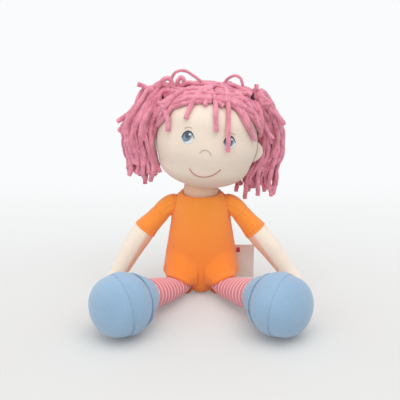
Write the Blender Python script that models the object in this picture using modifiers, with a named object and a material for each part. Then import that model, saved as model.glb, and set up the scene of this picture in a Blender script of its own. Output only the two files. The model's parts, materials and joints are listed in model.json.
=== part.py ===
"""A seated soft cloth doll: stuffed body, head, arms, legs and ball shoes, with yarn hair in two bunches.

The doll sits on the plane z = 0 and faces -Y, so its own left side is at +X. The origin is on the flat
under its seat. Lengths are in metres. Every limb ends in a round root that turns in a round socket.
"""
import math

import bmesh
import bpy
from mathutils import Matrix, Vector

# Cloth, seams and running gaps
CLOTH_THICKNESS = 0.0012
WEB_THICKNESS = 0.0012
SEAM_GAP = 0.0003
FLOOR_CUT = 0.0005
CUT_OVERRUN = 0.080

# Torso, measured from the seat up to the neckline
NECKLINE_HEIGHT = 0.0945
NECKLINE_RISE = 0.0030
TORSO_HIP_HALF_WIDTH = 0.0350
TORSO_CHEST_HALF_WIDTH = 0.0280
TORSO_HALF_DEPTH = 0.0220
TORSO_TOP_HALF_WIDTH = 0.0195
TORSO_TOP_HALF_DEPTH = 0.0187

# Neck
NECK_RADIUS = 0.0162
NECK_DEPTH_IN_TORSO = 0.0065
NECK_PIVOT_ABOVE_NECKLINE = 0.0025
NECK_WEB_HALF_ANGLE = math.radians(62)

# Head, in its own frame, whose origin is the neck's pivot
HEAD_TILT = math.radians(6.4)
HEAD_CENTRE_RISE = 0.0490
HEAD_HALF_WIDTH = 0.0454
HEAD_HALF_DEPTH = 0.0420
HEAD_HALF_HEIGHT = 0.0437
EAR_LENGTH = 0.0240
EAR_THICKNESS = 0.0050
EAR_REACH = 0.0075
EAR_HEIGHT = 0.0400
EAR_SET_FORWARD = 0.0040
EAR_POCKET_GAP = 0.0012
EAR_POCKET_DROP = 0.0030

# Embroidered face, in the head's frame
STITCH_THICKNESS = 0.0007
EYE_HALF_WIDTH = 0.0056
EYE_SPREAD = 0.0180
EYE_HEIGHT = 0.0588
NOSE_HALF_WIDTH = 0.0050
NOSE_HEIGHT = 0.0470
NOSE_RISE = 0.0028
MOUTH_HALF_WIDTH = 0.0134
MOUTH_HEIGHT = 0.0226
MOUTH_DROP = 0.0058
FACE_THREAD_RADIUS = 0.0007

# Arms: the root ball, then half widths along the arm
SHOULDER_SPREAD = 0.0285
SHOULDER_BELOW_NECKLINE = 0.0095
SHOULDER_RADIUS = 0.0070
SLEEVE_HEM_RADIUS = 0.0108
FOREARM_RADIUS = 0.0100
WRIST_RADIUS = 0.0085
HAND_RADIUS = 0.0082
SLEEVE_LENGTH = 0.0340
FOREARM_LENGTH = 0.0480
HAND_LENGTH = 0.0210
ARM_FORWARD_LEAN = math.radians(10)
SHOULDER_WEB_HALF_ANGLE = math.radians(52)
ARMHOLE_FLARE_RADIUS = 0.0175
ARMHOLE_FLARE_DEPTH = 0.0046

# Legs
HIP_SPREAD = 0.0190
HIP_FORWARD = 0.0125
HIP_HEIGHT = 0.0137
HIP_RADIUS = 0.0130
THIGH_RADIUS = 0.0122
CALF_RADIUS = 0.0136
ANKLE_RADIUS = 0.0146
LEG_PATH_CLEARANCE = 0.0012
HIP_WEB_HALF_ANGLE = math.radians(78)
LEG_LIFT = math.radians(10)
LEG_CLOSE = math.radians(12)

# Shoes
SHOE_SPREAD = 0.0645
SHOE_FORWARD = 0.0920
SHOE_RADIUS = 0.0278
SHOE_BACK_LENGTH = 0.0330
HEEL_END_RADIUS = 0.0164
HEEL_END_SHARE = 0.975
HEEL_MIDDLE_RADIUS = 0.0201
HEEL_MIDDLE_SHARE = 0.67
COLLAR_BACK = 0.0145
COLLAR_RADIUS = 0.0239
TOE_SEAM_BACK = 0.0050
COLLAR_ROLL_RADIUS = 0.0011
COLLAR_ROLL_PITCH_RADIUS = 0.0249

# Hair, in the head's frame unless said otherwise
HAIR_SIDE_THICKNESS = 0.0045
HAIR_FRONT_THICKNESS = 0.0065
HAIR_TOP_THICKNESS = 0.0075
HAIR_RIB_DEPTH = 0.0016
HAIR_STRAND_RADIUS = 0.0021
HAIR_LOOP_RADIUS = 0.0012
TIE_ROOT_RADIUS = 0.0065
TIE_NECK_RADIUS = 0.0046
TIE_RING_RADIUS = 0.0060
TIE_CORD_RADIUS = 0.0011
TIE_RING_OFFSET = 0.0046
TIE_SOCKET_GAP = 0.0022
RIGHT_BUNCH_LENGTH = 0.0780
LEFT_BUNCH_LENGTH = 0.0960
BUNCH_HALF_WIDTH = 0.0155

# Labels sewn into the left side seam
LABEL_WIDTH = 0.0200
LABEL_LENGTH = 0.0340
LABEL_THICKNESS = 0.0007
LABEL_HEIGHT = 0.0060
LABEL_SET_BACK = 0.0080
TAG_WIDTH = 0.0036
TAG_LENGTH = 0.0050
TAG_HEIGHT = 0.0370

# Facets
BODY_SIDES = 24
SHOE_SIDES = 18
LIMB_SIDES = 16
RING_SIDES = 6
WEB_RINGS = 4
HAIR_RIBS = 18

LEFT, RIGHT = 1, -1
SIDES = {"left": LEFT, "right": RIGHT}


def clear_scene():
    """Remove every object, so the doll stands alone."""
    for existing in list(bpy.data.objects):
        bpy.data.objects.remove(existing, do_unlink=True)


def new_collection(name):
    collection = bpy.data.collections.new(name)
    bpy.context.scene.collection.children.link(collection)
    return collection


clear_scene()
DOLL = new_collection("cloth_doll")
CUTTERS = new_collection("cutters")


def cloth(name, colour, roughness=0.9):
    """A matte cloth or yarn colour."""
    made = bpy.data.materials.new(name)
    made.use_nodes = True
    shader = made.node_tree.nodes["Principled BSDF"]
    shader.inputs["Base Color"].default_value = (*colour, 1.0)
    shader.inputs["Roughness"].default_value = roughness
    made.diffuse_color = (*colour, 1.0)
    return made


def place_in(collection, name, mesh, finish=None):
    """Put a mesh in the scene as a named object."""
    made = bpy.data.objects.new(name, mesh)
    collection.objects.link(made)
    if finish:
        mesh.materials.append(finish)
    return made


def as_cutter(made):
    made.hide_render = True
    made.display_type = "WIRE"
    return made


def mesh_from(bm, name):
    """Store a bmesh as a mesh, shaded smooth except at sharp edges."""
    mesh = bpy.data.meshes.new(name)
    bm.to_mesh(mesh)
    bm.free()
    mesh.shade_smooth()
    mesh.set_sharp_from_angle(angle=math.radians(50))
    return mesh


def cut(made, cutter, operation="DIFFERENCE"):
    modifier = made.modifiers.new(f"{operation.lower()} {cutter.name}", "BOOLEAN")
    modifier.operation = operation
    modifier.object = cutter
    modifier.solver = "EXACT"


def catmull_rom(before, start, end, after, share):
    """A smooth value between start and end."""
    square = share * share
    cube = square * share
    return (
        (2 * start)
        + (end - before) * share
        + (2 * before - 5 * start + 4 * end - after) * square
        + (3 * start - before - 3 * end + after) * cube
    ) / 2


def along(stations, position):
    """Centre, half width and half depth at a position along a stuffed form.

    The first and last stations are its round ends, and the rest are joined by a smooth curve.
    """
    last = len(stations) - 1
    index = min(int(position), last - 1)
    share = position - index
    if index == 0 or index == last - 1:
        end, ring = (stations[0], stations[1]) if index == 0 else (stations[last], stations[last - 1])
        turn = (share if index == 0 else 1 - share) * math.pi / 2
        centre = end[0] + (ring[0] - end[0]) * (1 - math.cos(turn))
        return centre, ring[1] * math.sin(turn), ring[2] * math.sin(turn)
    near = [stations[k] for k in (max(index - 1, 1), index, index + 1, min(index + 2, last - 1))]
    return tuple(catmull_rom(*(station[k] for station in near), share) for k in range(3))


def stuffed_mesh(name, stations, sides, rings_per_span, across=Vector((1, 0, 0))):
    """A stuffed form: a sphere whose rings are moved to swell and taper along its stations."""
    spans = len(stations) - 1
    rings = spans * rings_per_span
    bm = bmesh.new()
    bmesh.ops.create_uvsphere(bm, u_segments=sides, v_segments=rings, radius=1.0)
    for vertex in bm.verts:
        ring = round(math.acos(max(-1.0, min(1.0, vertex.co.z))) / math.pi * rings)
        turn = math.atan2(vertex.co.y, vertex.co.x)
        position = ring / rings_per_span
        centre, width, depth = along(stations, min(position, spans))
        ahead, _, _ = along(stations, min(position + 0.5, spans))
        behind, _, _ = along(stations, max(position - 0.5, 0))
        direction = (ahead - behind).normalized()
        sideways = (across - direction * across.dot(direction)).normalized()
        upward = sideways.cross(direction)
        vertex.co = centre + sideways * width * math.cos(turn) + upward * depth * math.sin(turn)
    return mesh_from(bm, name)


def cover_of(name, form_mesh, finish):
    """The cloth skin of a stuffed form."""
    made = place_in(DOLL, name, form_mesh.copy(), finish)
    wall = made.modifiers.new("cloth thickness", "SOLIDIFY")
    wall.thickness = CLOTH_THICKNESS
    wall.offset = -1
    return made


def filling_of(name, form_mesh):
    """The fibre filling inside a cloth skin."""
    made = place_in(DOLL, name, form_mesh.copy(), FILLING)
    inset = made.modifiers.new("inside the cloth", "DISPLACE")
    inset.mid_level = 0
    inset.strength = -(CLOTH_THICKNESS + SEAM_GAP)
    return made


def grown_copy(name, form_mesh, growth):
    """A cutter that follows a stuffed form at a distance."""
    made = as_cutter(place_in(CUTTERS, name, form_mesh.copy()))
    spread = made.modifiers.new("clearance", "DISPLACE")
    spread.mid_level = 0
    spread.strength = growth
    return made


def around(radius, sides=LIMB_SIDES):
    """The corner radius of a faceted round surface whose flats stay outside a radius."""
    return radius / math.cos(math.pi / sides) ** 2


def ball_cutter(name, centre, radius):
    """A faceted ball that holds a true ball of the radius."""
    bm = bmesh.new()
    bmesh.ops.create_uvsphere(bm, u_segments=LIMB_SIDES, v_segments=LIMB_SIDES // 2, radius=around(radius))
    made = as_cutter(place_in(CUTTERS, name, mesh_from(bm, name)))
    made.location = centre
    return made


def frame_at(origin, direction):
    """A frame at a place whose Z axis runs along a direction."""
    return Matrix.Translation(origin) @ direction.to_track_quat("Z", "X").to_matrix().to_4x4()


def half_space(name, origin, direction):
    """A large block that fills the space ahead of a plane."""
    bm = bmesh.new()
    bmesh.ops.create_cube(bm, size=2 * CUT_OVERRUN)
    bmesh.ops.translate(bm, verts=bm.verts, vec=(0, 0, CUT_OVERRUN))
    made = as_cutter(place_in(CUTTERS, name, mesh_from(bm, name)))
    made.matrix_world = frame_at(origin, direction)
    return made


def turned(name, profile, frame, finish=None, steps=LIMB_SIDES, collection=None, closed=False):
    """A turned shape from a profile of radius and height points, placed by a frame."""
    mesh = bpy.data.meshes.new(name)
    points = [(radius, 0, height) for radius, height in profile]
    edges = [(k, k + 1) for k in range(len(points) - 1)]
    if closed:
        edges.append((len(points) - 1, 0))
    mesh.from_pydata(points, edges, [])
    made = place_in(collection or DOLL, name, mesh, finish)
    screw = made.modifiers.new("turned", "SCREW")
    screw.axis = "Z"
    screw.steps = steps
    screw.render_steps = steps
    screw.use_merge_vertices = True
    screw.merge_threshold = 0.00001
    made.matrix_world = frame
    return made


def ring_profile(pitch_radius, cord_radius):
    """The round section of a ring, from its top down its outer side."""
    angles = [math.tau * k / RING_SIDES for k in range(RING_SIDES)]
    return [(pitch_radius + cord_radius * math.sin(a), cord_radius * math.cos(a)) for a in angles]


def cap_profile(outer, inner, half_angle, steps=WEB_RINGS):
    """The section of a thin round cap: down its outside from the pole, then back up its inside."""
    angles = [half_angle * k / steps for k in range(steps + 1)]
    outside = [(outer * math.sin(a), outer * math.cos(a)) for a in angles]
    inside = [(inner * math.sin(a), inner * math.cos(a)) for a in reversed(angles)]
    return outside + inside


def web_cap(name, pivot, direction, radius, half_angle, finish):
    """The slack band of cloth between a limb and the body: a thin cap round the limb's root."""
    inner = around(radius + SEAM_GAP)
    profile = cap_profile(inner + WEB_THICKNESS, inner, half_angle)
    return turned(name, profile, frame_at(pivot, direction), finish)


def socket_radius(root_radius):
    """The root, its web and a gap on each side of the web."""
    return around(root_radius + SEAM_GAP) + WEB_THICKNESS + SEAM_GAP


SKIN = cloth("skin_cloth", (0.85, 0.70, 0.56))
NECK_CLOTH = cloth("neck_cloth", (0.76, 0.50, 0.34))
ORANGE = cloth("orange_cloth", (0.95, 0.33, 0.04))
STRIPES = cloth("striped_knit", (0.80, 0.25, 0.32))
BLUE = cloth("blue_cloth", (0.30, 0.50, 0.68))
YARN = cloth("pink_yarn", (0.66, 0.22, 0.28), 1.0)
ELASTIC = cloth("dark_elastic", (0.05, 0.04, 0.06), 0.7)
FILLING = cloth("fibre_filling", (0.90, 0.88, 0.84), 1.0)
EYE_THREAD = cloth("eye_thread", (0.10, 0.14, 0.20), 0.6)
FACE_THREAD = cloth("face_thread", (0.62, 0.20, 0.18), 0.6)
SATIN = cloth("satin_label", (0.82, 0.76, 0.72), 0.4)
RED_TAPE = cloth("red_tape", (0.60, 0.04, 0.05), 0.6)

NECK_PIVOT = Vector((0, 0, NECKLINE_HEIGHT + NECK_PIVOT_ABOVE_NECKLINE))
HEAD_FRAME = Matrix.Translation(NECK_PIVOT) @ Matrix.Rotation(HEAD_TILT, 4, "Y")


def shoulder(side):
    return Vector((side * SHOULDER_SPREAD, 0, NECKLINE_HEIGHT - SHOULDER_BELOW_NECKLINE))


def hip(side):
    return Vector((side * HIP_SPREAD, -HIP_FORWARD, HIP_HEIGHT))


def shoe_centre(side):
    return Vector((side * SHOE_SPREAD, -SHOE_FORWARD, SHOE_RADIUS - FLOOR_CUT))


def leg_direction(side):
    return (shoe_centre(side) - hip(side)).normalized()


def ankle(side):
    return shoe_centre(side) - leg_direction(side) * SHOE_BACK_LENGTH


def outward_direction(side, angle, lean):
    """A direction that hangs down, turned out to the side by an angle and forward by a lean."""
    return Vector((side * math.sin(angle), -math.cos(angle) * math.sin(lean), -math.cos(angle) * math.cos(lean)))


# Torso


def torso_form():
    """The body swells at the hips and belly and narrows to a point between the legs."""
    height = NECKLINE_HEIGHT
    hips, chest, depth = TORSO_HIP_HALF_WIDTH, TORSO_CHEST_HALF_WIDTH, TORSO_HALF_DEPTH
    height_shares = (0.012, 0.085, 0.21, 0.36, 0.54, 0.72, 0.87, 0.945)
    half_widths = (
        hips * 0.37,
        hips * 0.62,
        hips * 0.985,
        hips * 0.98,
        hips * 0.90,
        chest * 1.02,
        chest * 0.955,
        chest * 0.83,
        TORSO_TOP_HALF_WIDTH,
    )
    half_depths = (
        depth * 0.62,
        depth * 0.86,
        depth * 1.00,
        depth * 1.00,
        depth * 0.98,
        depth * 0.93,
        depth * 0.88,
        TORSO_TOP_HALF_DEPTH,
        TORSO_TOP_HALF_DEPTH,
    )
    heights = [height * share for share in height_shares] + [height]
    stations = [(Vector((0, 0, -FLOOR_CUT)), 0, 0)]
    for level, width, deep in zip(heights, half_widths, half_depths):
        stations.append((Vector((0, 0, level)), width, deep))
    stations.append((Vector((0, 0, height + NECKLINE_RISE)), 0, 0))
    return stuffed_mesh("torso_form", stations, BODY_SIDES, 1)


def neck_socket():
    bottom = NECKLINE_HEIGHT - NECK_DEPTH_IN_TORSO - SEAM_GAP
    radius = (NECK_RADIUS + SEAM_GAP) / math.cos(math.pi / BODY_SIDES)
    top = NECKLINE_HEIGHT + CUT_OVERRUN
    return turned(
        "neck_socket",
        [(0, top), (radius, top), (radius, bottom), (0, bottom)],
        Matrix.Identity(4),
        steps=BODY_SIDES,
        collection=CUTTERS,
    )


def leg_path(name, side, direction):
    """The room that a thigh needs when its leg points along a direction."""
    reach = THIGH_RADIUS + LEG_PATH_CLEARANCE
    profile = [(0, CUT_OVERRUN), (reach, CUT_OVERRUN), (reach, 0), (0, 0)]
    return as_cutter(turned(name, profile, frame_at(hip(side), direction), collection=CUTTERS))


def torso_cutters():
    cutters = [half_space("floor", Vector((0, 0, 0)), Vector((0, 0, -1))), as_cutter(neck_socket())]
    for label, side in SIDES.items():
        cutters.append(ball_cutter(f"shoulder_socket_{label}", shoulder(side), socket_radius(SHOULDER_RADIUS)))
        cutters.append(ball_cutter(f"hip_socket_{label}", hip(side), socket_radius(HIP_RADIUS)))
        flare = turned(
            f"armhole_flare_{label}",
            [
                (0, CUT_OVERRUN),
                (ARMHOLE_FLARE_RADIUS, CUT_OVERRUN),
                (ARMHOLE_FLARE_RADIUS, 0),
                (SHOULDER_RADIUS, -ARMHOLE_FLARE_DEPTH),
                (0, -ARMHOLE_FLARE_DEPTH),
            ],
            frame_at(shoulder(side), Vector((side, 0, 0))),
            collection=CUTTERS,
        )
        cutters.append(as_cutter(flare))
        cutters.append(leg_path(f"leg_down_path_{label}", side, Vector((0, 0, -1))))
        lifted = Matrix.Rotation(-LEG_LIFT, 3, "X") @ Matrix.Rotation(-side * LEG_CLOSE, 3, "Z")
        cutters.append(leg_path(f"leg_up_path_{label}", side, lifted @ leg_direction(side)))
    return cutters


def build_torso():
    form = torso_form()
    cover = cover_of("torso", form, ORANGE)
    filling = filling_of("torso_stuffing", form)
    for cutter in torso_cutters():
        cut(cover, cutter)
        cut(filling, cutter)


def build_neck():
    """The neck turns in the neckline, and its round top carries the head."""
    bottom = NECKLINE_HEIGHT - NECK_DEPTH_IN_TORSO
    angles = [math.pi / 2 * k / WEB_RINGS for k in range(WEB_RINGS + 1)]
    dome = [(NECK_RADIUS * math.sin(a), NECK_PIVOT.z + NECK_RADIUS * math.cos(a)) for a in angles]
    turned("neck", dome + [(NECK_RADIUS, bottom), (0, bottom)], Matrix.Identity(4), NECK_CLOTH, BODY_SIDES)
    up = HEAD_FRAME.to_3x3() @ Vector((0, 0, 1))
    web_cap("neck_web", NECK_PIVOT, up, NECK_RADIUS, NECK_WEB_HALF_ANGLE, NECK_CLOTH)


# Head

HEAD_STATION_SHARES = ((-0.50, 0.915), (-0.12, 1.015), (0.35, 0.955))


def head_stations():
    """Full cheeks below the middle, a broad chin and a round crown."""
    centre = Vector((0, 0, HEAD_CENTRE_RISE))
    up = Vector((0, 0, HEAD_HALF_HEIGHT))
    stations = [(centre - up, 0, 0)]
    for level, width in HEAD_STATION_SHARES:
        stations.append((centre + up * level, HEAD_HALF_WIDTH * width, HEAD_HALF_DEPTH * width))
    stations.append((centre + up, 0, 0))
    return stations


def head_half_sizes(height):
    """Half width and half depth of the head at a height in its frame."""
    stations = head_stations()
    low, high = 0.0, float(len(stations) - 1)
    for _ in range(40):
        middle = (low + high) / 2
        if along(stations, middle)[0].z < height:
            low = middle
        else:
            high = middle
    _, width, depth = along(stations, low)
    return width, depth


def on_face(sideways, height, lift):
    """A point in front of the face, in the head's frame, at a lift above the cloth."""
    width, depth = head_half_sizes(height)
    share = min(abs(sideways) / width, 0.98)
    surface = Vector((sideways, -depth * math.sqrt(1 - share * share), height))
    centre = Vector((0, 0, HEAD_CENTRE_RISE))
    normal = Vector(
        (
            sideways / width**2,
            surface.y / depth**2,
            (height - centre.z) / HEAD_HALF_HEIGHT**2,
        )
    ).normalized()
    return surface + normal * lift


def head_form():
    mesh = stuffed_mesh("head_form", head_stations(), BODY_SIDES, 3)
    mesh.transform(HEAD_FRAME)
    return mesh


def build_head(form):
    cover = cover_of("head", form, SKIN)
    filling = filling_of("head_stuffing", form)
    socket = ball_cutter("head_socket", NECK_PIVOT, socket_radius(NECK_RADIUS))
    for made in (cover, filling):
        cut(made, socket)


def ear_mesh(name, side, gap=0.0, drop=0.0):
    """A flat oval that stands out at the side of the head, or the larger room round one."""
    width, _ = head_half_sizes(EAR_HEIGHT)
    bm = bmesh.new()
    bmesh.ops.create_uvsphere(bm, u_segments=LIMB_SIDES, v_segments=LIMB_SIDES // 2, radius=1.0)
    size = Vector((2 * EAR_REACH + gap, EAR_THICKNESS / 2 + gap, EAR_LENGTH / 2 + drop))
    bmesh.ops.scale(bm, verts=bm.verts, vec=size)
    mesh = mesh_from(bm, name)
    centre = Vector((side * (width - EAR_REACH), -EAR_SET_FORWARD, EAR_HEIGHT))
    mesh.transform(HEAD_FRAME @ Matrix.Translation(centre))
    return mesh


def build_ears(head_clearance):
    """Flat ears that stand out at the sides of the head."""
    for label, side in SIDES.items():
        ear = place_in(DOLL, f"ear_{label}", ear_mesh(f"ear_{label}", side), SKIN)
        cut(ear, head_clearance)


def tube(name, points, radius, finish=None, collection=None, sides_step=1):
    """A round strand along smooth points, as a mesh whose ends are closed."""
    curve = bpy.data.curves.new(name, "CURVE")
    curve.dimensions = "3D"
    curve.bevel_depth = radius
    curve.bevel_resolution = sides_step
    curve.use_fill_caps = True
    spline = curve.splines.new("POLY")
    spline.points.add(len(points) - 1)
    for point, place in zip(spline.points, points):
        point.co = (*place, 1)
    guide = bpy.data.objects.new(f"{name}_guide", curve)
    CUTTERS.objects.link(guide)
    bpy.context.view_layer.update()
    depsgraph = bpy.context.evaluated_depsgraph_get()
    mesh = bpy.data.meshes.new_from_object(guide.evaluated_get(depsgraph))
    bpy.data.objects.remove(guide)
    bm = bmesh.new()
    bm.from_mesh(mesh)
    bmesh.ops.remove_doubles(bm, verts=bm.verts, dist=radius / 100)
    bpy.data.meshes.remove(mesh)
    return place_in(collection or DOLL, name, mesh_from(bm, name), finish)


def smooth_path(points, per_span=3):
    """More points along a smooth curve through the given ones."""
    path = []
    last = len(points) - 1
    for index in range(last):
        near = [points[k] for k in (max(index - 1, 0), index, index + 1, min(index + 2, last))]
        path += [catmull_rom(*near, step / per_span) for step in range(per_span)]
    return path + [points[last]]


def stitched(name, prism, outer, inner, finish):
    """A patch of thread on the face: what a prism shares with the layer just above the cloth."""
    cut(prism, outer, "INTERSECT")
    cut(prism, inner)
    prism.name = name
    prism.data.materials.append(finish)
    CUTTERS.objects.unlink(prism)
    DOLL.objects.link(prism)


def build_face(form, head_clearance):
    """Round embroidered eyes, and a nose and a smiling mouth in stem stitch."""
    thread_top = grown_copy("thread_top", form, SEAM_GAP + STITCH_THICKNESS)
    for label, side in SIDES.items():
        centre = on_face(side * EYE_SPREAD, EYE_HEIGHT, 0)
        reach = HEAD_HALF_DEPTH / 2
        profile = [(0, reach), (EYE_HALF_WIDTH, reach), (EYE_HALF_WIDTH, -reach), (0, -reach)]
        frame = HEAD_FRAME @ frame_at(centre, Vector((0, -1, 0)))
        prism = turned(f"eye_{label}_prism", profile, frame, collection=CUTTERS)
        stitched(f"eye_{label}", prism, thread_top, head_clearance, EYE_THREAD)
    lift = SEAM_GAP + FACE_THREAD_RADIUS
    shares = [k / 8 * 2 - 1 for k in range(9)]
    nose = [
        HEAD_FRAME @ on_face(share * NOSE_HALF_WIDTH, NOSE_HEIGHT - NOSE_RISE * share * share, lift + SEAM_GAP)
        for share in shares
    ]
    tube("nose_stitch", nose, FACE_THREAD_RADIUS, FACE_THREAD)
    mouth = [
        HEAD_FRAME @ on_face(share * MOUTH_HALF_WIDTH, MOUTH_HEIGHT + MOUTH_DROP * share * share, lift + SEAM_GAP)
        for share in shares
    ]
    tube("mouth_stitch", mouth, FACE_THREAD_RADIUS, FACE_THREAD)


# Hair


def tie_place(side):
    """Where a bunch is tied, in the head's frame. The doll's right bunch is tied lower."""
    spread_share, height_share = (0.68, 0.93) if side == LEFT else (0.89, 0.82)
    hair_height = HEAD_HALF_HEIGHT + HAIR_TOP_THICKNESS / 2
    spread = side * HEAD_HALF_WIDTH * spread_share
    return Vector((spread, 0, HEAD_CENTRE_RISE + hair_height * height_share * 0.97))


def crown_mesh():
    """The hair over the head: a ribbed shape whose ribs run from the parting down to both sides."""
    sides = 2 * HAIR_RIBS
    bm = bmesh.new()
    bmesh.ops.create_uvsphere(bm, u_segments=sides, v_segments=12, radius=1.0)
    half_width = HEAD_HALF_WIDTH + HAIR_SIDE_THICKNESS
    half_depth = HEAD_HALF_DEPTH + HAIR_FRONT_THICKNESS
    half_height = HEAD_HALF_HEIGHT + HAIR_TOP_THICKNESS
    for vertex in bm.verts:
        turn = math.atan2(vertex.co.y, vertex.co.x)
        rib = round(turn / math.tau * sides) % 2
        ring_share = math.sqrt(max(0.0, 1 - vertex.co.z**2))
        shrink = 1 - rib * ring_share * HAIR_RIB_DEPTH / half_height
        vertex.co = Vector(
            (
                vertex.co.z * half_width,
                vertex.co.x * half_depth * shrink,
                HEAD_CENTRE_RISE + vertex.co.y * half_height * shrink,
            )
        )
    mesh = mesh_from(bm, "hair_crown")
    mesh.transform(HEAD_FRAME)
    return mesh


def face_opening():
    """The face and jaw, which the hair leaves free, as a side outline drawn across the head."""
    depth, height, middle = HEAD_HALF_DEPTH, HEAD_HALF_HEIGHT, HEAD_CENTRE_RISE
    outline = (
        (-0.70 * depth, middle + 1.30 * height),
        (-0.68 * depth, middle + 0.62 * height),
        (-0.60 * depth, middle + 0.34 * height),
        (-0.18 * depth, middle + 0.16 * height),
        (0.20 * depth, middle - 0.30 * height),
        (0.62 * depth, middle - 0.86 * height),
        (0.62 * depth, middle - 1.30 * height),
        (-2.0 * depth, middle - 1.30 * height),
        (-2.0 * depth, middle + 1.30 * height),
    )
    bm = bmesh.new()
    corners = [bm.verts.new((-CUT_OVERRUN, y, z)) for y, z in outline]
    face = bm.faces.new(corners)
    swept = bmesh.ops.extrude_face_region(bm, geom=[face])
    moved = [item for item in swept["geom"] if isinstance(item, bmesh.types.BMVert)]
    bmesh.ops.translate(bm, verts=moved, vec=(2 * CUT_OVERRUN, 0, 0))
    bmesh.ops.recalc_face_normals(bm, faces=bm.faces)
    made = as_cutter(place_in(CUTTERS, "face_opening", mesh_from(bm, "face_opening")))
    made.data.transform(HEAD_FRAME)
    return made


FRINGE_SHARES = (
    ((-0.12, 0.93), (-0.22, 0.70), (-0.30, 0.50)),
    ((0.02, 0.93), (0.12, 0.62), (0.16, 0.32)),
    ((0.22, 0.90), (0.36, 0.50), (0.37, 0.04)),
    ((-0.60, 0.72), (-0.66, 0.48), (-0.66, 0.24)),
)


def fringe_path(shares):
    """A strand that leaves the hair at the parting and lies down over the forehead."""
    path = []
    for order, (sideways, height) in enumerate(shares):
        lift = HAIR_STRAND_RADIUS + (2 * SEAM_GAP if order else HAIR_STRAND_RADIUS)
        place = on_face(
            sideways * HEAD_HALF_WIDTH,
            HEAD_CENTRE_RISE + height * HEAD_HALF_HEIGHT,
            lift + SEAM_GAP,
        )
        path.append(place)
    root = path[0] + Vector((0, HEAD_HALF_DEPTH / 3, HAIR_STRAND_RADIUS * 2))
    return [HEAD_FRAME @ place for place in smooth_path([root] + path)]


def loop_path(side):
    """A loose strand that arches up off the top of the hair and comes back down to it."""
    top = HEAD_CENTRE_RISE + HEAD_HALF_HEIGHT + HAIR_TOP_THICKNESS
    inner_share, peak_share, outer_share = (0.32, 0.58, 0.70) if side == LEFT else (0.15, 0.45, 0.62)
    rise = HAIR_TOP_THICKNESS * (0.9 if side == LEFT else 1.2)
    sunk = HAIR_TOP_THICKNESS
    points = [
        Vector((side * inner_share * HEAD_HALF_WIDTH, 0, top - sunk)),
        Vector((side * inner_share * HEAD_HALF_WIDTH * 1.3, 0, top)),
        Vector((side * peak_share * HEAD_HALF_WIDTH, 0, top + rise)),
        Vector((side * outer_share * HEAD_HALF_WIDTH, 0, top)),
        Vector((side * outer_share * HEAD_HALF_WIDTH, 0, top - 2 * sunk)),
    ]
    return [HEAD_FRAME @ place for place in smooth_path(points)]


def build_crown(head_clearance):
    crown = place_in(DOLL, "hair_crown", crown_mesh(), YARN)
    cut(crown, face_opening())
    strands = [(f"fringe_{order}", fringe_path(shares), HAIR_STRAND_RADIUS) for order, shares in enumerate(FRINGE_SHARES)]
    strands += [(f"loop_{label}", loop_path(side), HAIR_LOOP_RADIUS) for label, side in SIDES.items()]
    for name, path, radius in strands:
        cut(crown, as_cutter(tube(name, path, radius, collection=CUTTERS)), "UNION")
    cut(crown, head_clearance)
    for label, side in SIDES.items():
        centre = HEAD_FRAME @ tie_place(side)
        cut(crown, ball_cutter(f"tie_socket_{label}", centre, TIE_ROOT_RADIUS + TIE_SOCKET_GAP))
    return crown


BUNCH_SHARES = {
    "right": ((0.20, 0.00, 0.10, 0.75), (0.33, -0.03, 0.34, 1.00), (0.34, -0.04, 0.58, 1.00), (0.30, -0.03, 0.80, 0.90)),
    "left": ((0.14, 0.05, 0.12, 0.75), (0.26, 0.13, 0.32, 0.92), (0.28, 0.18, 0.55, 1.00), (0.20, 0.20, 0.82, 1.15)),
}


def bunch_direction(side):
    """The way a bunch leaves its tie: outwards and a little down."""
    return Vector((side * 0.92, 0, -0.38)).normalized()


def bunch_stations(label, side):
    """A bunch of yarn that leaves its tie, swells and hangs beside the head."""
    tie = HEAD_FRAME @ tie_place(side)
    direction = bunch_direction(side)
    length = LEFT_BUNCH_LENGTH if side == LEFT else RIGHT_BUNCH_LENGTH
    stations = [
        (tie - direction * TIE_ROOT_RADIUS, 0, 0),
        (tie, TIE_ROOT_RADIUS, TIE_ROOT_RADIUS),
        (tie + direction * TIE_RING_OFFSET, TIE_NECK_RADIUS, TIE_NECK_RADIUS),
    ]
    for outward, backward, down, swell in BUNCH_SHARES[label]:
        place = tie + Vector((side * outward * length, backward * length, -down * length))
        size = BUNCH_HALF_WIDTH * swell
        stations.append((place, size, size * 0.92))
    outward, backward, _, _ = BUNCH_SHARES[label][-1]
    stations.append((tie + Vector((side * outward * length, backward * length, -length)), 0, 0))
    return stations


def build_bunches(head_clearance, crown_clearance):
    for label, side in SIDES.items():
        stations = bunch_stations(label, side)
        mesh = stuffed_mesh(f"hair_bunch_{label}", stations, LIMB_SIDES, 2, Vector((1, 0, 0.3)))
        for vertex in mesh.vertices:
            vertex.co = lobed(vertex.co, stations)
        bunch = place_in(DOLL, f"hair_bunch_{label}", mesh, YARN)
        pocket = ear_mesh(f"ear_pocket_{label}", side, EAR_POCKET_GAP, EAR_POCKET_DROP)
        for cutter in (head_clearance, crown_clearance, as_cutter(place_in(CUTTERS, pocket.name, pocket))):
            cut(bunch, cutter)
        tie = HEAD_FRAME @ tie_place(side)
        direction = bunch_direction(side)
        frame = frame_at(tie + direction * TIE_RING_OFFSET, direction)
        profile = ring_profile(TIE_RING_RADIUS, TIE_CORD_RADIUS)
        turned(f"hair_tie_{label}", profile, frame, ELASTIC, closed=True)
        groove_profile = ring_profile(TIE_RING_RADIUS, around(TIE_CORD_RADIUS + SEAM_GAP, RING_SIDES))
        groove = turned(f"tie_groove_{label}", groove_profile, frame, collection=CUTTERS, closed=True)
        cut(bunch, as_cutter(groove))


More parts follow.
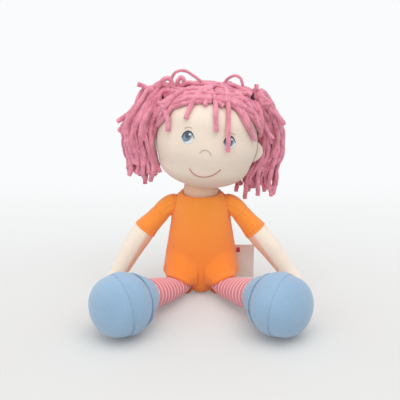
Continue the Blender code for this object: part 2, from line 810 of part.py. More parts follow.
def lobed(place, stations):
    """Pull a bunch's hanging part in and out round its axis, as strands lie side by side."""
    nearest = min(stations[3:-1], key=lambda station: (station[0] - place).length)
    away = place - nearest[0]
    turn = math.atan2(away.y, away.x)
    share = min(1.0, away.length / BUNCH_HALF_WIDTH)
    if (place - stations[1][0]).length < 2 * TIE_ROOT_RADIUS:
        return place
    return place + Vector((away.x, away.y, 0)) * 0.06 * share * math.cos(LIMB_SIDES // 2 * turn)


# Arms

ARM_ANGLES = {"right": (math.radians(43), math.radians(34)), "left": (math.radians(40), math.radians(40))}


def arm_places(label, side):
    """Shoulder, hem, wrist and fingertip."""
    upper = outward_direction(side, ARM_ANGLES[label][0], ARM_FORWARD_LEAN)
    lower = outward_direction(side, ARM_ANGLES[label][1], ARM_FORWARD_LEAN)
    root = shoulder(side)
    hem = root + upper * SLEEVE_LENGTH
    wrist = hem + lower * FOREARM_LENGTH
    tip = wrist + lower * HAND_LENGTH
    return root, hem, wrist, tip, upper, lower


def arm_form(label, side):
    """The arm widens to the hem of its sleeve and narrows to a rounded hand."""
    root, hem, wrist, tip, upper, lower = arm_places(label, side)
    stations = [
        (root - upper * SHOULDER_RADIUS, 0, 0),
        (root, SHOULDER_RADIUS, SHOULDER_RADIUS),
        (root + upper * SHOULDER_RADIUS, SHOULDER_RADIUS * 0.96, SHOULDER_RADIUS * 0.96),
        (root.lerp(hem, 0.55), SLEEVE_HEM_RADIUS * 0.84, SLEEVE_HEM_RADIUS * 0.80),
        (hem, SLEEVE_HEM_RADIUS, SLEEVE_HEM_RADIUS * 0.95),
        (hem.lerp(wrist, 0.45), FOREARM_RADIUS, FOREARM_RADIUS * 0.95),
        (wrist, WRIST_RADIUS, WRIST_RADIUS * 0.92),
        (tip - lower * HAND_RADIUS, HAND_RADIUS, HAND_RADIUS * 0.82),
        (tip, 0, 0),
    ]
    return stuffed_mesh(f"arm_form_{label}", stations, LIMB_SIDES, 2)


def build_arms():
    for label, side in SIDES.items():
        root, hem, wrist, _, upper, lower = arm_places(label, side)
        form = arm_form(label, side)
        across_hem = (upper + lower).normalized()
        sleeve = cover_of(f"sleeve_{label}", form, ORANGE)
        cut(sleeve, half_space(f"below_hem_{label}", hem, across_hem))
        forearm = cover_of(f"forearm_{label}", form, SKIN)
        cut(forearm, half_space(f"above_hem_{label}", hem + across_hem * SEAM_GAP, -across_hem))
        filling_of(f"arm_stuffing_{label}", form)
        inward = Vector((-side, 0, 0))
        web_cap(f"shoulder_web_{label}", root, inward, SHOULDER_RADIUS, SHOULDER_WEB_HALF_ANGLE, ORANGE)


# Legs and shoes


def leg_form(label, side):
    """A stuffed leg between its round root at the hip and its round end in the shoe."""
    root, end, direction = hip(side), ankle(side), leg_direction(side)
    stations = [
        (root - direction * HIP_RADIUS, 0, 0),
        (root, HIP_RADIUS, HIP_RADIUS),
        (root.lerp(end, 0.30), THIGH_RADIUS, THIGH_RADIUS),
        (root.lerp(end, 0.65), CALF_RADIUS, CALF_RADIUS),
        (end, ANKLE_RADIUS, ANKLE_RADIUS),
        (end + direction * ANKLE_RADIUS, 0, 0),
    ]
    return stuffed_mesh(f"leg_form_{label}", stations, LIMB_SIDES, 2)


def build_legs():
    for label, side in SIDES.items():
        form = leg_form(label, side)
        direction = leg_direction(side)
        leg = cover_of(f"leg_{label}", form, STRIPES)
        cut(leg, half_space(f"below_ankle_seam_{label}", ankle(side), direction))
        filling_of(f"leg_stuffing_{label}", form)
        web_cap(f"hip_web_{label}", hip(side), -direction, HIP_RADIUS, HIP_WEB_HALF_ANGLE, ORANGE)


def shoe_form(label, side):
    """A ball of a foot that narrows back through the shoe's collar to the ankle seam."""
    centre, direction = shoe_centre(side), leg_direction(side)
    back = SHOE_BACK_LENGTH
    stations = [
        (centre - direction * back, 0, 0),
        (centre - direction * back * HEEL_END_SHARE, HEEL_END_RADIUS, HEEL_END_RADIUS),
        (centre - direction * back * HEEL_MIDDLE_SHARE, HEEL_MIDDLE_RADIUS, HEEL_MIDDLE_RADIUS),
        (centre - direction * COLLAR_BACK, COLLAR_RADIUS, COLLAR_RADIUS),
        (centre - direction * COLLAR_BACK / 2, SHOE_RADIUS * 0.97, SHOE_RADIUS * 0.97),
        (centre, SHOE_RADIUS, SHOE_RADIUS),
        (centre + direction * SHOE_RADIUS, 0, 0),
    ]
    return stuffed_mesh(f"shoe_form_{label}", stations, SHOE_SIDES, 2)


def build_shoes():
    for label, side in SIDES.items():
        under = shoe_centre(side)
        under.z = 0
        floor = half_space(f"shoe_floor_{label}", under, Vector((0, 0, -1)))
        form = shoe_form(label, side)
        direction = leg_direction(side)
        seam = shoe_centre(side) - direction * TOE_SEAM_BACK
        socket = ball_cutter(f"ankle_socket_{label}", ankle(side), ANKLE_RADIUS + SEAM_GAP)
        toe = cover_of(f"shoe_toe_{label}", form, BLUE)
        cut(toe, half_space(f"behind_toe_seam_{label}", seam + direction * SEAM_GAP, -direction))
        upper = cover_of(f"shoe_upper_{label}", form, BLUE)
        cut(upper, half_space(f"ahead_of_toe_seam_{label}", seam, direction))
        collar = shoe_centre(side) - direction * COLLAR_BACK
        cut(upper, half_space(f"behind_collar_{label}", collar, -direction))
        cuff = cover_of(f"ankle_cuff_{label}", form, BLUE)
        cut(cuff, half_space(f"ahead_of_collar_{label}", collar - direction * SEAM_GAP, direction))
        filling = filling_of(f"shoe_stuffing_{label}", form)
        for made in (toe, upper, filling):
            cut(made, floor)
        for made in (cuff, filling):
            cut(made, socket)
        profile = ring_profile(COLLAR_ROLL_PITCH_RADIUS, COLLAR_ROLL_RADIUS)
        roll_place = collar - direction * COLLAR_ROLL_RADIUS
        turned(f"shoe_rim_{label}", profile, frame_at(roll_place, direction), BLUE, SHOE_SIDES, closed=True)


# Labels


def slab(name, corner, along_way, up_way, length, height, thickness, finish):
    """A thin flat tab with one edge at a seam."""
    outward = along_way.cross(up_way).normalized()
    bm = bmesh.new()
    bmesh.ops.create_cube(bm, size=1.0)
    bmesh.ops.scale(bm, verts=bm.verts, vec=(length, thickness, height))
    bmesh.ops.translate(bm, verts=bm.verts, vec=(length / 2, 0, height / 2))
    made = place_in(DOLL, name, mesh_from(bm, name), finish)
    axes = Matrix((along_way, outward, up_way)).transposed().to_4x4()
    made.data.transform(Matrix.Translation(corner) @ axes)
    return made


def build_labels(torso_clearance):
    """A bare satin label and a small red tape tab, both caught in the side seam."""
    along_way = Vector((0.75, 0.66, 0)).normalized()
    up_way = Vector((0, 0, 1))
    seam = TORSO_HIP_HALF_WIDTH * 0.88
    label = slab(
        "care_label",
        Vector((seam, LABEL_SET_BACK, LABEL_HEIGHT)),
        along_way,
        up_way,
        LABEL_WIDTH,
        LABEL_LENGTH,
        LABEL_THICKNESS,
        SATIN,
    )
    cut(label, torso_clearance)
    tag = slab(
        "side_tag",
        Vector((TORSO_HIP_HALF_WIDTH * 0.94, -TAG_WIDTH, TAG_HEIGHT)),
        Vector((1, 0, 0)),
        up_way,
        TAG_WIDTH,
        TAG_LENGTH,
        LABEL_THICKNESS,
        RED_TAPE,
    )
    cut(tag, torso_clearance)


def pivot(name, place, pieces, parent=None):
    """An empty on a joint's axis that carries the pieces that turn there."""
    made = bpy.data.objects.new(name, None)
    made.empty_display_size = HIP_RADIUS
    DOLL.objects.link(made)
    made.location = place
    bpy.context.view_layer.update()
    if parent:
        made.parent = parent
        made.matrix_parent_inverse = parent.matrix_world.inverted()
    for piece in pieces:
        piece.parent = made
        piece.matrix_parent_inverse = Matrix.Translation(place).inverted()
    return made


def pieces_named(*names):
    return [bpy.data.objects[name] for name in names]


def hang_on_pivots():
    """Parent every moving piece to an empty on its own joint's axis."""
    neck_turn = pivot("neck_turn_pivot", NECK_PIVOT, pieces_named("neck"))
    nod = pivot("head_nod_pivot", NECK_PIVOT, pieces_named("neck_web"), neck_turn)
    face = ("eye_left", "eye_right", "nose_stitch", "mouth_stitch")
    head_pieces = pieces_named("head", "head_stuffing", "ear_left", "ear_right", "hair_crown", *face)
    lean = pivot("head_lean_pivot", NECK_PIVOT, head_pieces, nod)
    for label, side in SIDES.items():
        bunch = pieces_named(f"hair_bunch_{label}", f"hair_tie_{label}")
        pivot(f"bunch_pivot_{label}", HEAD_FRAME @ tie_place(side), bunch, lean)
        swing = pivot(f"arm_swing_pivot_{label}", shoulder(side), pieces_named(f"shoulder_web_{label}"))
        arm = pieces_named(f"sleeve_{label}", f"forearm_{label}", f"arm_stuffing_{label}")
        pivot(f"arm_raise_pivot_{label}", shoulder(side), arm, swing)
        step = pivot(f"leg_swing_pivot_{label}", hip(side), pieces_named(f"hip_web_{label}"))
        leg_pieces = pieces_named(f"leg_{label}", f"leg_stuffing_{label}")
        splay = pivot(f"leg_splay_pivot_{label}", hip(side), leg_pieces, step)
        shoe = pieces_named(*(f"shoe_{piece}_{label}" for piece in ("upper", "toe", "rim", "stuffing")))
        pivot(f"foot_pivot_{label}", ankle(side), shoe + pieces_named(f"ankle_cuff_{label}"), splay)


def build():
    build_torso()
    build_neck()
    form = head_form()
    head_clearance = grown_copy("head_clearance", form, SEAM_GAP)
    build_head(form)
    build_ears(head_clearance)
    build_face(form, head_clearance)
    build_crown(head_clearance)
    crown_clearance = grown_copy("crown_clearance", bpy.data.objects["hair_crown"].data, SEAM_GAP)
    build_bunches(head_clearance, crown_clearance)
    build_arms()
    build_legs()
    build_shoes()
    build_labels(grown_copy("torso_clearance", torso_form(), SEAM_GAP))
    hang_on_pivots()


build()
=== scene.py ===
"""Looks of a seated cloth doll with chenille hair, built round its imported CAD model.

Lengths are in metres, and a value times MM is given in millimetres. The doll faces -Y, so its own left
side is at +X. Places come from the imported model's joints, so every piece sits where its CAD solid sits.
"""
import json
import math
import random

import bmesh
import bpy
from mathutils import Matrix, Vector, noise
from mathutils.bvhtree import BVHTree


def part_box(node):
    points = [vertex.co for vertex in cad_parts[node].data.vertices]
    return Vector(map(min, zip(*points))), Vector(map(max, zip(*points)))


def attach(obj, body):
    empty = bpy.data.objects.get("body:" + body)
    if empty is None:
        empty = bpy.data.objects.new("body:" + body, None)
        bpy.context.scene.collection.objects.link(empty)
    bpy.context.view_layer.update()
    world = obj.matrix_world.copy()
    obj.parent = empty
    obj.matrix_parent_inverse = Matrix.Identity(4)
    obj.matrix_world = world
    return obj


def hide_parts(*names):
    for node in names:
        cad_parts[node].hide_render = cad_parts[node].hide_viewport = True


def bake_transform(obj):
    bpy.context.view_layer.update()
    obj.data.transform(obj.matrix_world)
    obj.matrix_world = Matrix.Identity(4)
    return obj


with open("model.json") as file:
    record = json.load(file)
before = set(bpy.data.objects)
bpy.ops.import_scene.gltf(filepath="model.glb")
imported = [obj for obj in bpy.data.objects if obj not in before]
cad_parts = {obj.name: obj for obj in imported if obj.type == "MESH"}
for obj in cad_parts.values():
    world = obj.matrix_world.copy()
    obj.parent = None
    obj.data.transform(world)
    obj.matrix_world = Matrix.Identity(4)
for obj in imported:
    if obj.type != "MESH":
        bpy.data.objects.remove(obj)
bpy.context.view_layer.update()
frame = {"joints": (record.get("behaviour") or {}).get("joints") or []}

bl_info = {
    "name": "Cloth doll",
    "version": (1, 0, 0),
    "blender": (4, 5, 0),
    "location": "3D View > Sidebar > Cloth doll",
    "description": "Builds the looks of a seated cloth doll round its packed frame",
    "category": "Object",
}

MM = 0.001
SIDES = {"left": 1, "right": -1}
JOINTS = {joint["name"]: joint for joint in frame["joints"]}


def joint_place(name):
    return Vector(JOINTS[name]["pos_m"])


NECK_PIVOT = joint_place("head_turn")
HEAD_FRAME = Matrix.Translation(NECK_PIVOT) @ Matrix.Rotation(math.radians(6.4), 4, "Y")
SHOULDER = {label: joint_place(f"arm_swing_{label}") for label in SIDES}
HIP = {label: joint_place(f"leg_swing_{label}") for label in SIDES}
ANKLE = {label: joint_place(f"foot_bend_{label}") for label in SIDES}
TIE = {label: joint_place(f"bunch_swing_{label}") for label in SIDES}
LEG_WAY = {label: (ANKLE[label] - HIP[label]).normalized() for label in SIDES}
SHOE_BACK = 33 * MM
SHOE_CENTRE = {label: ANKLE[label] + LEG_WAY[label] * SHOE_BACK for label in SIDES}
NECKLINE = 94.5 * MM

# The camera of the photograph, whose frame is 400 by 400 pixels
CAMERA_PLACE = Vector((0, -644 * MM, 303.6 * MM))
CAMERA_AIM = Vector((0, 0, 87.4 * MM))
CAMERA_LENS = 66.46
PICTURE_SIZE = 400
PICTURE_MIDDLE = (201, 200)


# Settings


def colour(name, description, value):
    return bpy.props.FloatVectorProperty(
        name=name, description=description, default=value, subtype="COLOR", size=3, min=0.0, max=1.0
    )


def length(name, description, value):
    return bpy.props.FloatProperty(
        name=name, description=description, default=value, subtype="DISTANCE", unit="LENGTH", min=0.0, precision=5
    )


class DollClothSettings(bpy.types.PropertyGroup):
    """Colours and sizes of the sewn cloth."""

    orange: colour("Body suit", "Colour of the body suit and sleeves", (1.0, 0.315, 0.042))
    skin: colour("Skin", "Colour of the face, ears and arms", (0.82, 0.70, 0.59))
    neck: colour("Neck", "Colour of the shaded neck cloth", (0.80, 0.53, 0.39))
    rose: colour("Stripe ground", "Colour of the legs between their thin rings", (0.76, 0.20, 0.245))
    pale_ring: colour("Thin ring", "Colour of the thin rings on the legs", (0.98, 0.62, 0.63))
    arm: colour("Arms", "Colour of the forearms", (0.92, 0.80, 0.67))
    # painted shade: the inner panel of each forearm gets a darker colour for the shade on that side
    arm_panel_painted_shade: colour("Arm panel", "Colour of the panel inside each forearm", (0.88, 0.55, 0.38))
    blue: colour("Shoes", "Colour of the shoes and heels", (0.27, 0.42, 0.585))
    satin: colour("Label", "Colour of the bare satin label", (0.90, 0.83, 0.76))
    stripe_pitch: length("Stripe pitch", "Distance between two thin rings", 5.1 * MM)


class DollFaceSettings(bpy.types.PropertyGroup):
    """Colours of the embroidered face."""

    iris: colour("Iris", "Thread colour of the iris", (0.135, 0.19, 0.26))
    pupil: colour("Pupil", "Thread colour of the pupil", (0.035, 0.05, 0.085))
    eye_rim: colour("Eye rim", "Thread colour of the pale crescent", (0.40, 0.52, 0.63))
    lash: colour("Lashes", "Thread colour of the upper lid", (0.045, 0.05, 0.07))
    brow: colour("Brows", "Thread colour of the brows", (0.56, 0.41, 0.32))
    nose: colour("Nose", "Thread colour of the nose", (0.50, 0.36, 0.28))
    mouth: colour("Mouth", "Thread colour of the mouth", (0.52, 0.22, 0.18))
    eye_radius: length("Eye radius", "Radius of an embroidered eye", 5.6 * MM)


class DollHairSettings(bpy.types.PropertyGroup):
    """Sizes and colours of the chenille hair."""

    yarn: colour("Yarn", "Colour of the chenille pile", (0.98, 0.345, 0.465))
    # painted shade: the darker copy of the yarn, laid in the gaps between clumps and in random patches across the
    # strands
    yarn_painted_shade: colour("Yarn shade", "Colour deep in the chenille pile", (0.52, 0.10, 0.18))
    elastic: colour("Elastic", "Colour of the hair ties", (0.035, 0.03, 0.045))
    strand_radius: length("Strand radius", "Radius of one chenille strand", 2.05 * MM)
    segment: length("Segment", "Distance between two rings of a strand", 1.15 * MM)
    fuzz: length("Fuzz", "How far the pile's clumps stand out", 0.42 * MM)
    bunch_rings: bpy.props.IntProperty(
        name="Bunch rings", description="Rings of strands round the middle strand of a bunch", default=4, min=1, max=5
    )


class DollStageSettings(bpy.types.PropertyGroup):
    """The floor and the studio light."""

    floor: colour("Floor", "Colour of the floor near the doll", (0.685, 0.685, 0.675))
    backdrop: colour("Backdrop", "Colour of the far floor as the camera sees it", (0.955, 0.972, 0.98))
    fill: bpy.props.FloatProperty(name="Fill", description="Strength of the light from all round", default=0.74, min=0.0)
    key_power: bpy.props.FloatProperty(name="Key", description="Power of the overhead light", default=9.5, unit="POWER")


SETTINGS = {
    "doll_cloth": DollClothSettings,
    "doll_face": DollFaceSettings,
    "doll_hair": DollHairSettings,
    "doll_stage": DollStageSettings,
}


# Shapes


def catmull_rom(before, start, end, after, share):
    """A smooth value between start and end."""
    square = share * share
    cube = square * share
    return (
        2 * start
        + (end - before) * share
        + (2 * before - 5 * start + 4 * end - after) * square
        + (3 * start - before - 3 * end + after) * cube
    ) / 2


def smooth_path(points, steps=6):
    """More points along a smooth curve through the given ones."""
    path, last = [], len(points) - 1
    for index in range(last):
        near = [points[k] for k in (max(index - 1, 0), index, index + 1, min(index + 2, last))]
        path += [catmull_rom(*near, step / steps) for step in range(steps)]
    return path + [points[last]]


def along(stations, position):
    """Centre, half width and half depth at a position along a stuffed form with round ends."""
    last = len(stations) - 1
    index = min(int(position), last - 1)
    share = position - index
    if index in (0, last - 1):
        end, ring = (stations[0], stations[1]) if index == 0 else (stations[last], stations[last - 1])
        turn = (share if index == 0 else 1 - share) * math.pi / 2
        centre = end[0] + (ring[0] - end[0]) * (1 - math.cos(turn))
        return centre, ring[1] * math.sin(turn), ring[2] * math.sin(turn)
    near = [stations[k] for k in (max(index - 1, 1), index, index + 1, min(index + 2, last - 1))]
    return tuple(catmull_rom(*(station[k] for station in near), share) for k in range(3))


def even_positions(stations, spacing):
    """Positions along the stations whose rings lie an even distance apart on the surface."""
    last = len(stations) - 1
    count = 60 * last
    walked, place = [0.0], along(stations, 0.0)
    for step in range(1, count + 1):
        ahead = along(stations, min(step * last / count, last - 1e-9))
        walked.append(walked[-1] + math.hypot((ahead[0] - place[0]).length, ahead[1] - place[1]))
        place = ahead
    rings = max(6, round(walked[-1] / spacing))
    positions, step = [], 0
    for ring in range(1, rings):
        target = walked[-1] * ring / rings
        while walked[step + 1] < target:
            step += 1
        share = (target - walked[step]) / (walked[step + 1] - walked[step])
        positions.append((step + share) * last / count)
    return positions


def place_in(name, mesh):
    made = bpy.data.objects.new(name, mesh)
    bpy.context.scene.collection.objects.link(made)
    return made


def mesh_from(bm, name):
    bmesh.ops.recalc_face_normals(bm, faces=bm.faces)
    mesh = bpy.data.meshes.new(name)
    bm.to_mesh(mesh)
    bm.free()
    mesh.shade_smooth()
    return mesh


def ringed(name, rings, ends):
    """A closed skin over rings of points, with a point at each end."""
    bm = bmesh.new()
    loops = [[bm.verts.new(point) for point in ring] for ring in rings]
    for first, second in zip(loops, loops[1:]):
        for k in range(len(first)):
            following = (k + 1) % len(first)
            bm.faces.new((first[k], first[following], second[following], second[k]))
    for point, loop in ((ends[0], loops[0]), (ends[1], loops[-1])):
        tip = bm.verts.new(point)
        for k in range(len(loop)):
            bm.faces.new((tip, loop[k], loop[(k + 1) % len(loop)]))
    return mesh_from(bm, name)


def stuffed(name, stations, sides, spacing, across=Vector((1, 0, 0))):
    """The smooth closed skin of a stuffed form."""
    last = len(stations) - 1
    rings = []
    for position in even_positions(stations, spacing):
        centre, width, depth = along(stations, position)
        ahead = along(stations, min(position + 0.5, last - 1e-9))[0]
        behind = along(stations, max(position - 0.5, 0))[0]
        direction = (ahead - behind).normalized()
        sideways = (across - direction * across.dot(direction)).normalized()
        upward = sideways.cross(direction)
        turns = [math.tau * k / sides for k in range(sides)]
        rings.append([centre + sideways * width * math.cos(a) + upward * depth * math.sin(a) for a in turns])
    return ringed(name, rings, (stations[0][0], stations[-1][0]))


def frame_at(origin, direction):
    """A frame at a place whose Z axis runs along a direction."""
    return Matrix.Translation(origin) @ direction.to_track_quat("Z", "X").to_matrix().to_4x4()


def turned(name, profile, place, sides=48):
    """A closed turned shape from radius and height points whose first and last lie on its axis."""
    rings = [
        [place @ Vector((radius * math.cos(a), radius * math.sin(a), height)) for a in
         (math.tau * k / sides for k in range(sides))]
        for radius, height in profile[1:-1]
    ]
    ends = (place @ Vector((0, 0, profile[0][1])), place @ Vector((0, 0, profile[-1][1])))
    return ringed(name, rings, ends)


def welt(name, path, radius, sides=8, closed=True, wobble=0.0, seed=0):
    """A soft round edge or thread along a path of points."""
    bm = bmesh.new()
    count = len(path)
    loops = []
    side_way = None
    for k, point in enumerate(path):
        ahead = path[(k + 1) % count] if closed else path[min(k + 1, count - 1)]
        behind = path[k - 1] if closed else path[max(k - 1, 0)]
        direction = (ahead - behind).normalized()
        if side_way is None:
            side_way = direction.orthogonal()
        side_way = (side_way - direction * side_way.dot(direction)).normalized()
        upward = direction.cross(side_way)
        size = radius
        if callable(radius):
            size = radius(k / (count - 1))
        size *= 1 + wobble * noise.noise(point * 260 + Vector((seed, 0, 0)))
        turns = [math.tau * j / sides for j in range(sides)]
        loops.append([bm.verts.new(point + (side_way * math.cos(a) + upward * math.sin(a)) * size) for a in turns])
    pairs = list(zip(loops, loops[1:]))
    if closed:
        first, last = loops[0], loops[-1]
        shift = min(range(sides), key=lambda j: (first[j].co - last[0].co).length)
        pairs.append((last, first[shift:] + first[:shift]))
    for first, second in pairs:
        for k in range(sides):
            following = (k + 1) % sides
            bm.faces.new((first[k], first[following], second[following], second[k]))
    if not closed:
        bm.faces.new(reversed(loops[0]))
        bm.faces.new(loops[-1])
    return mesh_from(bm, name)


def applied(made):
    """Turn a piece with modifiers into one with a plain mesh."""
    bpy.context.view_layer.update()
    depsgraph = bpy.context.evaluated_depsgraph_get()
    mesh = bpy.data.meshes.new_from_object(made.evaluated_get(depsgraph))
    made.modifiers.clear()
    made.data = mesh
    mesh.name = made.name
    mesh.shade_smooth()
    return made


def subdivided(made, levels):
    smooth = made.modifiers.new("finer cloth", "SUBSURF")
    smooth.levels = levels
    smooth.render_levels = levels
    return applied(made)


SIM_FRAMES = 20
SIM_SCALE = 10
SIM_PRESSURE = 4.0


def inflated(made, pinned, limit):
    """Blow a bag up against its pinned seams with Blender's cloth, and keep the shape."""
    mesh = made.data
    start = [vertex.co.copy() for vertex in mesh.vertices]
    scene = bpy.context.scene
    seams = made.vertex_groups.new(name="seams")
    seams.add([k for k, point in enumerate(start) if pinned(point)], 1.0, "REPLACE")
    mesh.transform(Matrix.Scale(SIM_SCALE, 4))
    bag = made.modifiers.new("stuffing pressure", "CLOTH")
    bag.settings.vertex_group_mass = "seams"
    bag.settings.use_pressure = True
    bag.settings.uniform_pressure_force = SIM_PRESSURE
    bag.settings.effector_weights.gravity = 0
    bag.settings.tension_stiffness = 12
    bag.settings.compression_stiffness = 12
    bag.settings.bending_stiffness = 0.3
    bag.point_cache.frame_start = 1
    bag.point_cache.frame_end = SIM_FRAMES
    for step in range(1, SIM_FRAMES + 1):
        scene.frame_set(step)
    depsgraph = bpy.context.evaluated_depsgraph_get()
    blown = [vertex.co / SIM_SCALE for vertex in made.evaluated_get(depsgraph).data.vertices]
    made.modifiers.clear()
    made.vertex_groups.clear()
    scene.frame_set(1)
    for vertex, first, last in zip(mesh.vertices, start, blown):
        move = last - first
        if move.length > limit:
            move = move.normalized() * limit
        vertex.co = first + move
    mesh.update()
    return made


def bag(name, mesh, pinned, slack, limit, levels=1):
    """A padded bag: the form drawn in a little, blown up against its seams, and smoothed."""
    made = place_in(name, mesh)
    normals = [vertex.normal.copy() for vertex in mesh.vertices]
    for vertex, normal in zip(mesh.vertices, normals):
        vertex.co -= normal * slack
    mesh.update()
    inflated(made, pinned, limit)
    return subdivided(made, levels)


def shaped(made, offset):
    """Move every point of a piece along its normal by an offset that depends on its place."""
    mesh = made.data
    moves = [vertex.normal * offset(vertex.co) for vertex in mesh.vertices]
    for vertex, move in zip(mesh.vertices, moves):
        vertex.co += move
    mesh.update()
    return made


def cut_at(made, origin, direction):
    """Cut away what lies ahead of a plane and close the piece there."""
    bm = bmesh.new()
    bm.from_mesh(made.data)
    geometry = bm.verts[:] + bm.edges[:] + bm.faces[:]
    found = bmesh.ops.bisect_plane(bm, geom=geometry, plane_co=origin, plane_no=direction, clear_outer=True)
    rim = [item for item in found["geom_cut"] if isinstance(item, bmesh.types.BMEdge)]
    bmesh.ops.holes_fill(bm, edges=rim, sides=0)
    bm.to_mesh(made.data)
    bm.free()
    made.data.update()
    return made


def carved(made, cutters):
    """Cut closed shapes out of a piece."""
    for order, cutter in enumerate(cutters):
        shape = place_in(f"carver_{order}", cutter)
        tool = made.modifiers.new(cutter.name, "BOOLEAN")
        tool.operation = "DIFFERENCE"
        tool.solver = "EXACT"
        tool.object = shape
        applied(made)
        bpy.data.objects.remove(shape)
    return made


def ball(name, centre, radius):
    bm = bmesh.new()
    bmesh.ops.create_uvsphere(bm, u_segments=48, v_segments=24, radius=radius)
    bmesh.ops.translate(bm, verts=bm.verts, vec=centre)
    return mesh_from(bm, name)


def rested(made, floor=0.0):
    """Flatten a soft piece where it stands on the floor."""
    for vertex in made.data.vertices:
        vertex.co.z = max(vertex.co.z, floor)
    made.data.update()
    return made


def creased(made, angle=50):
    made.data.set_sharp_from_angle(angle=math.radians(angle))
    return made


def bump_noise(point, size, seed=0.0):
    """Smooth noise whose lumps are about a size across."""
    return noise.noise(point / size + Vector((seed, seed * 0.37, -seed)))


def tucks(around, away, count, depth, reach, seed):
    """Small radial folds beside a gathered seam, from the turn round it and the distance from it."""
    if away > 4 * reach:
        return 0.0
    wander = 1.6 * noise.noise(Vector((around * 1.7, seed, 0.0)))
    strength = 0.55 + 0.45 * noise.noise(Vector((around * 2.3, seed, 5.0)))
    return depth * strength * math.exp(-away / reach) * math.cos(count * around + wander)


def turn_round(point, origin, direction):
    """The angle of a point round an axis and its distance along it."""
    local = frame_at(origin, direction).inverted() @ point
    return math.atan2(local.y, local.x), local.z, math.hypot(local.x, local.y)


# Materials


def new_group(name, inputs, outputs):
    """An empty shader node group with named sockets."""
    tree = bpy.data.node_groups.new(name, "ShaderNodeTree")
    for label, kind, value in inputs:
        socket = tree.interface.new_socket(name=label, in_out="INPUT", socket_type=kind)
        if value is not None:
            socket.default_value = value
    for label, kind in outputs:
        tree.interface.new_socket(name=label, in_out="OUTPUT", socket_type=kind)
    return tree, tree.nodes.new("NodeGroupInput"), tree.nodes.new("NodeGroupOutput")


def math_node(tree, operation, first, second=None, clamp=False):
    node = tree.nodes.new("ShaderNodeMath")
    node.operation = operation
    node.use_clamp = clamp
    for socket, value in zip(node.inputs, (first, second)):
        if isinstance(value, (int, float)):
            socket.default_value = value
        elif value is not None:
            tree.links.new(value, socket)
    return node.outputs[0]


def noise_node(tree, vector, scale, detail=2.0):
    node = tree.nodes.new("ShaderNodeTexNoise")
    node.inputs["Detail"].default_value = detail
    if isinstance(scale, (int, float)):
        node.inputs["Scale"].default_value = scale
    else:
        tree.links.new(scale, node.inputs["Scale"])
    tree.links.new(vector, node.inputs["Vector"])
    return node.outputs["Fac"]


def ramp_node(tree, value, low, high, smooth=True):
    """A mask that rises from 0 at low to 1 at high."""
    node = tree.nodes.new("ShaderNodeMapRange")
    node.interpolation_type = "SMOOTHSTEP" if smooth else "LINEAR"
    node.inputs["From Min"].default_value = low
    node.inputs["From Max"].default_value = high
    tree.links.new(value, node.inputs["Value"])
    return node.outputs["Result"]


def mix_node(tree, share, first, second, blend="MIX"):
    node = tree.nodes.new("ShaderNodeMix")
    node.data_type = "RGBA"
    node.blend_type = blend
    for socket, value in zip((node.inputs["Factor"], node.inputs[6], node.inputs[7]), (share, first, second)):
        if isinstance(value, (int, float)):
            socket.default_value = value
        elif isinstance(value, (tuple, list)) or type(value).__name__ in ("Color", "bpy_prop_array"):
            socket.default_value = (*value[:3], 1.0)
        else:
            tree.links.new(value, socket)
    return node.outputs[2]


def build_weave_group():
    """Brushed cotton: crossing threads under a soft nap, with a slight change of tone."""
    tree, given, out = new_group(
        "brushed_cotton",
        [("Vector", "NodeSocketVector", None), ("Threads per metre", "NodeSocketFloat", 1600.0)],
        [("Height", "NodeSocketFloat"), ("Tone", "NodeSocketFloat")],
    )
    vector, threads = given.outputs[0], given.outputs[1]
    spread = tree.nodes.new("ShaderNodeVectorMath")
    spread.operation = "SCALE"
    tree.links.new(vector, spread.inputs[0])
    tree.links.new(threads, spread.inputs["Scale"])
    split = tree.nodes.new("ShaderNodeSeparateXYZ")
    tree.links.new(spread.outputs[0], split.inputs[0])
    wobble = noise_node(tree, vector, 700.0, 1.0)
    across = math_node(tree, "SINE", math_node(tree, "ADD", math_node(tree, "ADD", split.outputs[0], split.outputs[1]), wobble))
    upright = math_node(tree, "SINE", math_node(tree, "ADD", split.outputs[2], wobble))
    woven = math_node(tree, "MULTIPLY", across, upright)
    nap = noise_node(tree, vector, 2600.0, 3.0)
    coarse_nap = noise_node(tree, vector, 620.0, 2.0)
    height = math_node(tree, "ADD", math_node(tree, "MULTIPLY", woven, 0.12), math_node(tree, "MULTIPLY", nap, 0.8))
    height = math_node(tree, "ADD", height, math_node(tree, "MULTIPLY", coarse_nap, 0.7))
    tree.links.new(height, out.inputs["Height"])
    broad = noise_node(tree, vector, 34.0, 2.0)
    tone = math_node(tree, "ADD", math_node(tree, "MULTIPLY", broad, 0.55), math_node(tree, "MULTIPLY", coarse_nap, 0.45))
    tree.links.new(tone, out.inputs["Tone"])
    return tree


def build_pile_group():
    """Chenille pile: small clumps that stand up, with painted shade in the gaps between them and a broad random change
    of tone.
    """
    tree, given, out = new_group(
        "chenille_pile",
        [("Vector", "NodeSocketVector", None), ("Clumps per metre", "NodeSocketFloat", 1500.0)],
        [("Height", "NodeSocketFloat"), ("Tone", "NodeSocketFloat")],
    )
    vector, clumps = given.outputs[0], given.outputs[1]
    cells = tree.nodes.new("ShaderNodeTexVoronoi")
    cells.feature = "F1"
    tree.links.new(vector, cells.inputs["Vector"])
    tree.links.new(clumps, cells.inputs["Scale"])
    fibre = noise_node(tree, vector, 3800.0, 3.0)
    height = math_node(tree, "SUBTRACT", fibre, math_node(tree, "MULTIPLY", cells.outputs["Distance"], 0.9))
    tree.links.new(height, out.inputs["Height"])
    broad = noise_node(tree, vector, 120.0, 2.0)
    # painted shade: the pile darker away from the middle of each clump, in the gaps between clumps
    deep = math_node(tree, "MULTIPLY", cells.outputs["Distance"], 0.55)
    tree.links.new(math_node(tree, "ADD", math_node(tree, "MULTIPLY", broad, 0.7), deep), out.inputs["Tone"])
    return tree


GROUPS = {}


def shared_group(name, builder):
    if name not in GROUPS:
        GROUPS[name] = builder()
    return GROUPS[name]


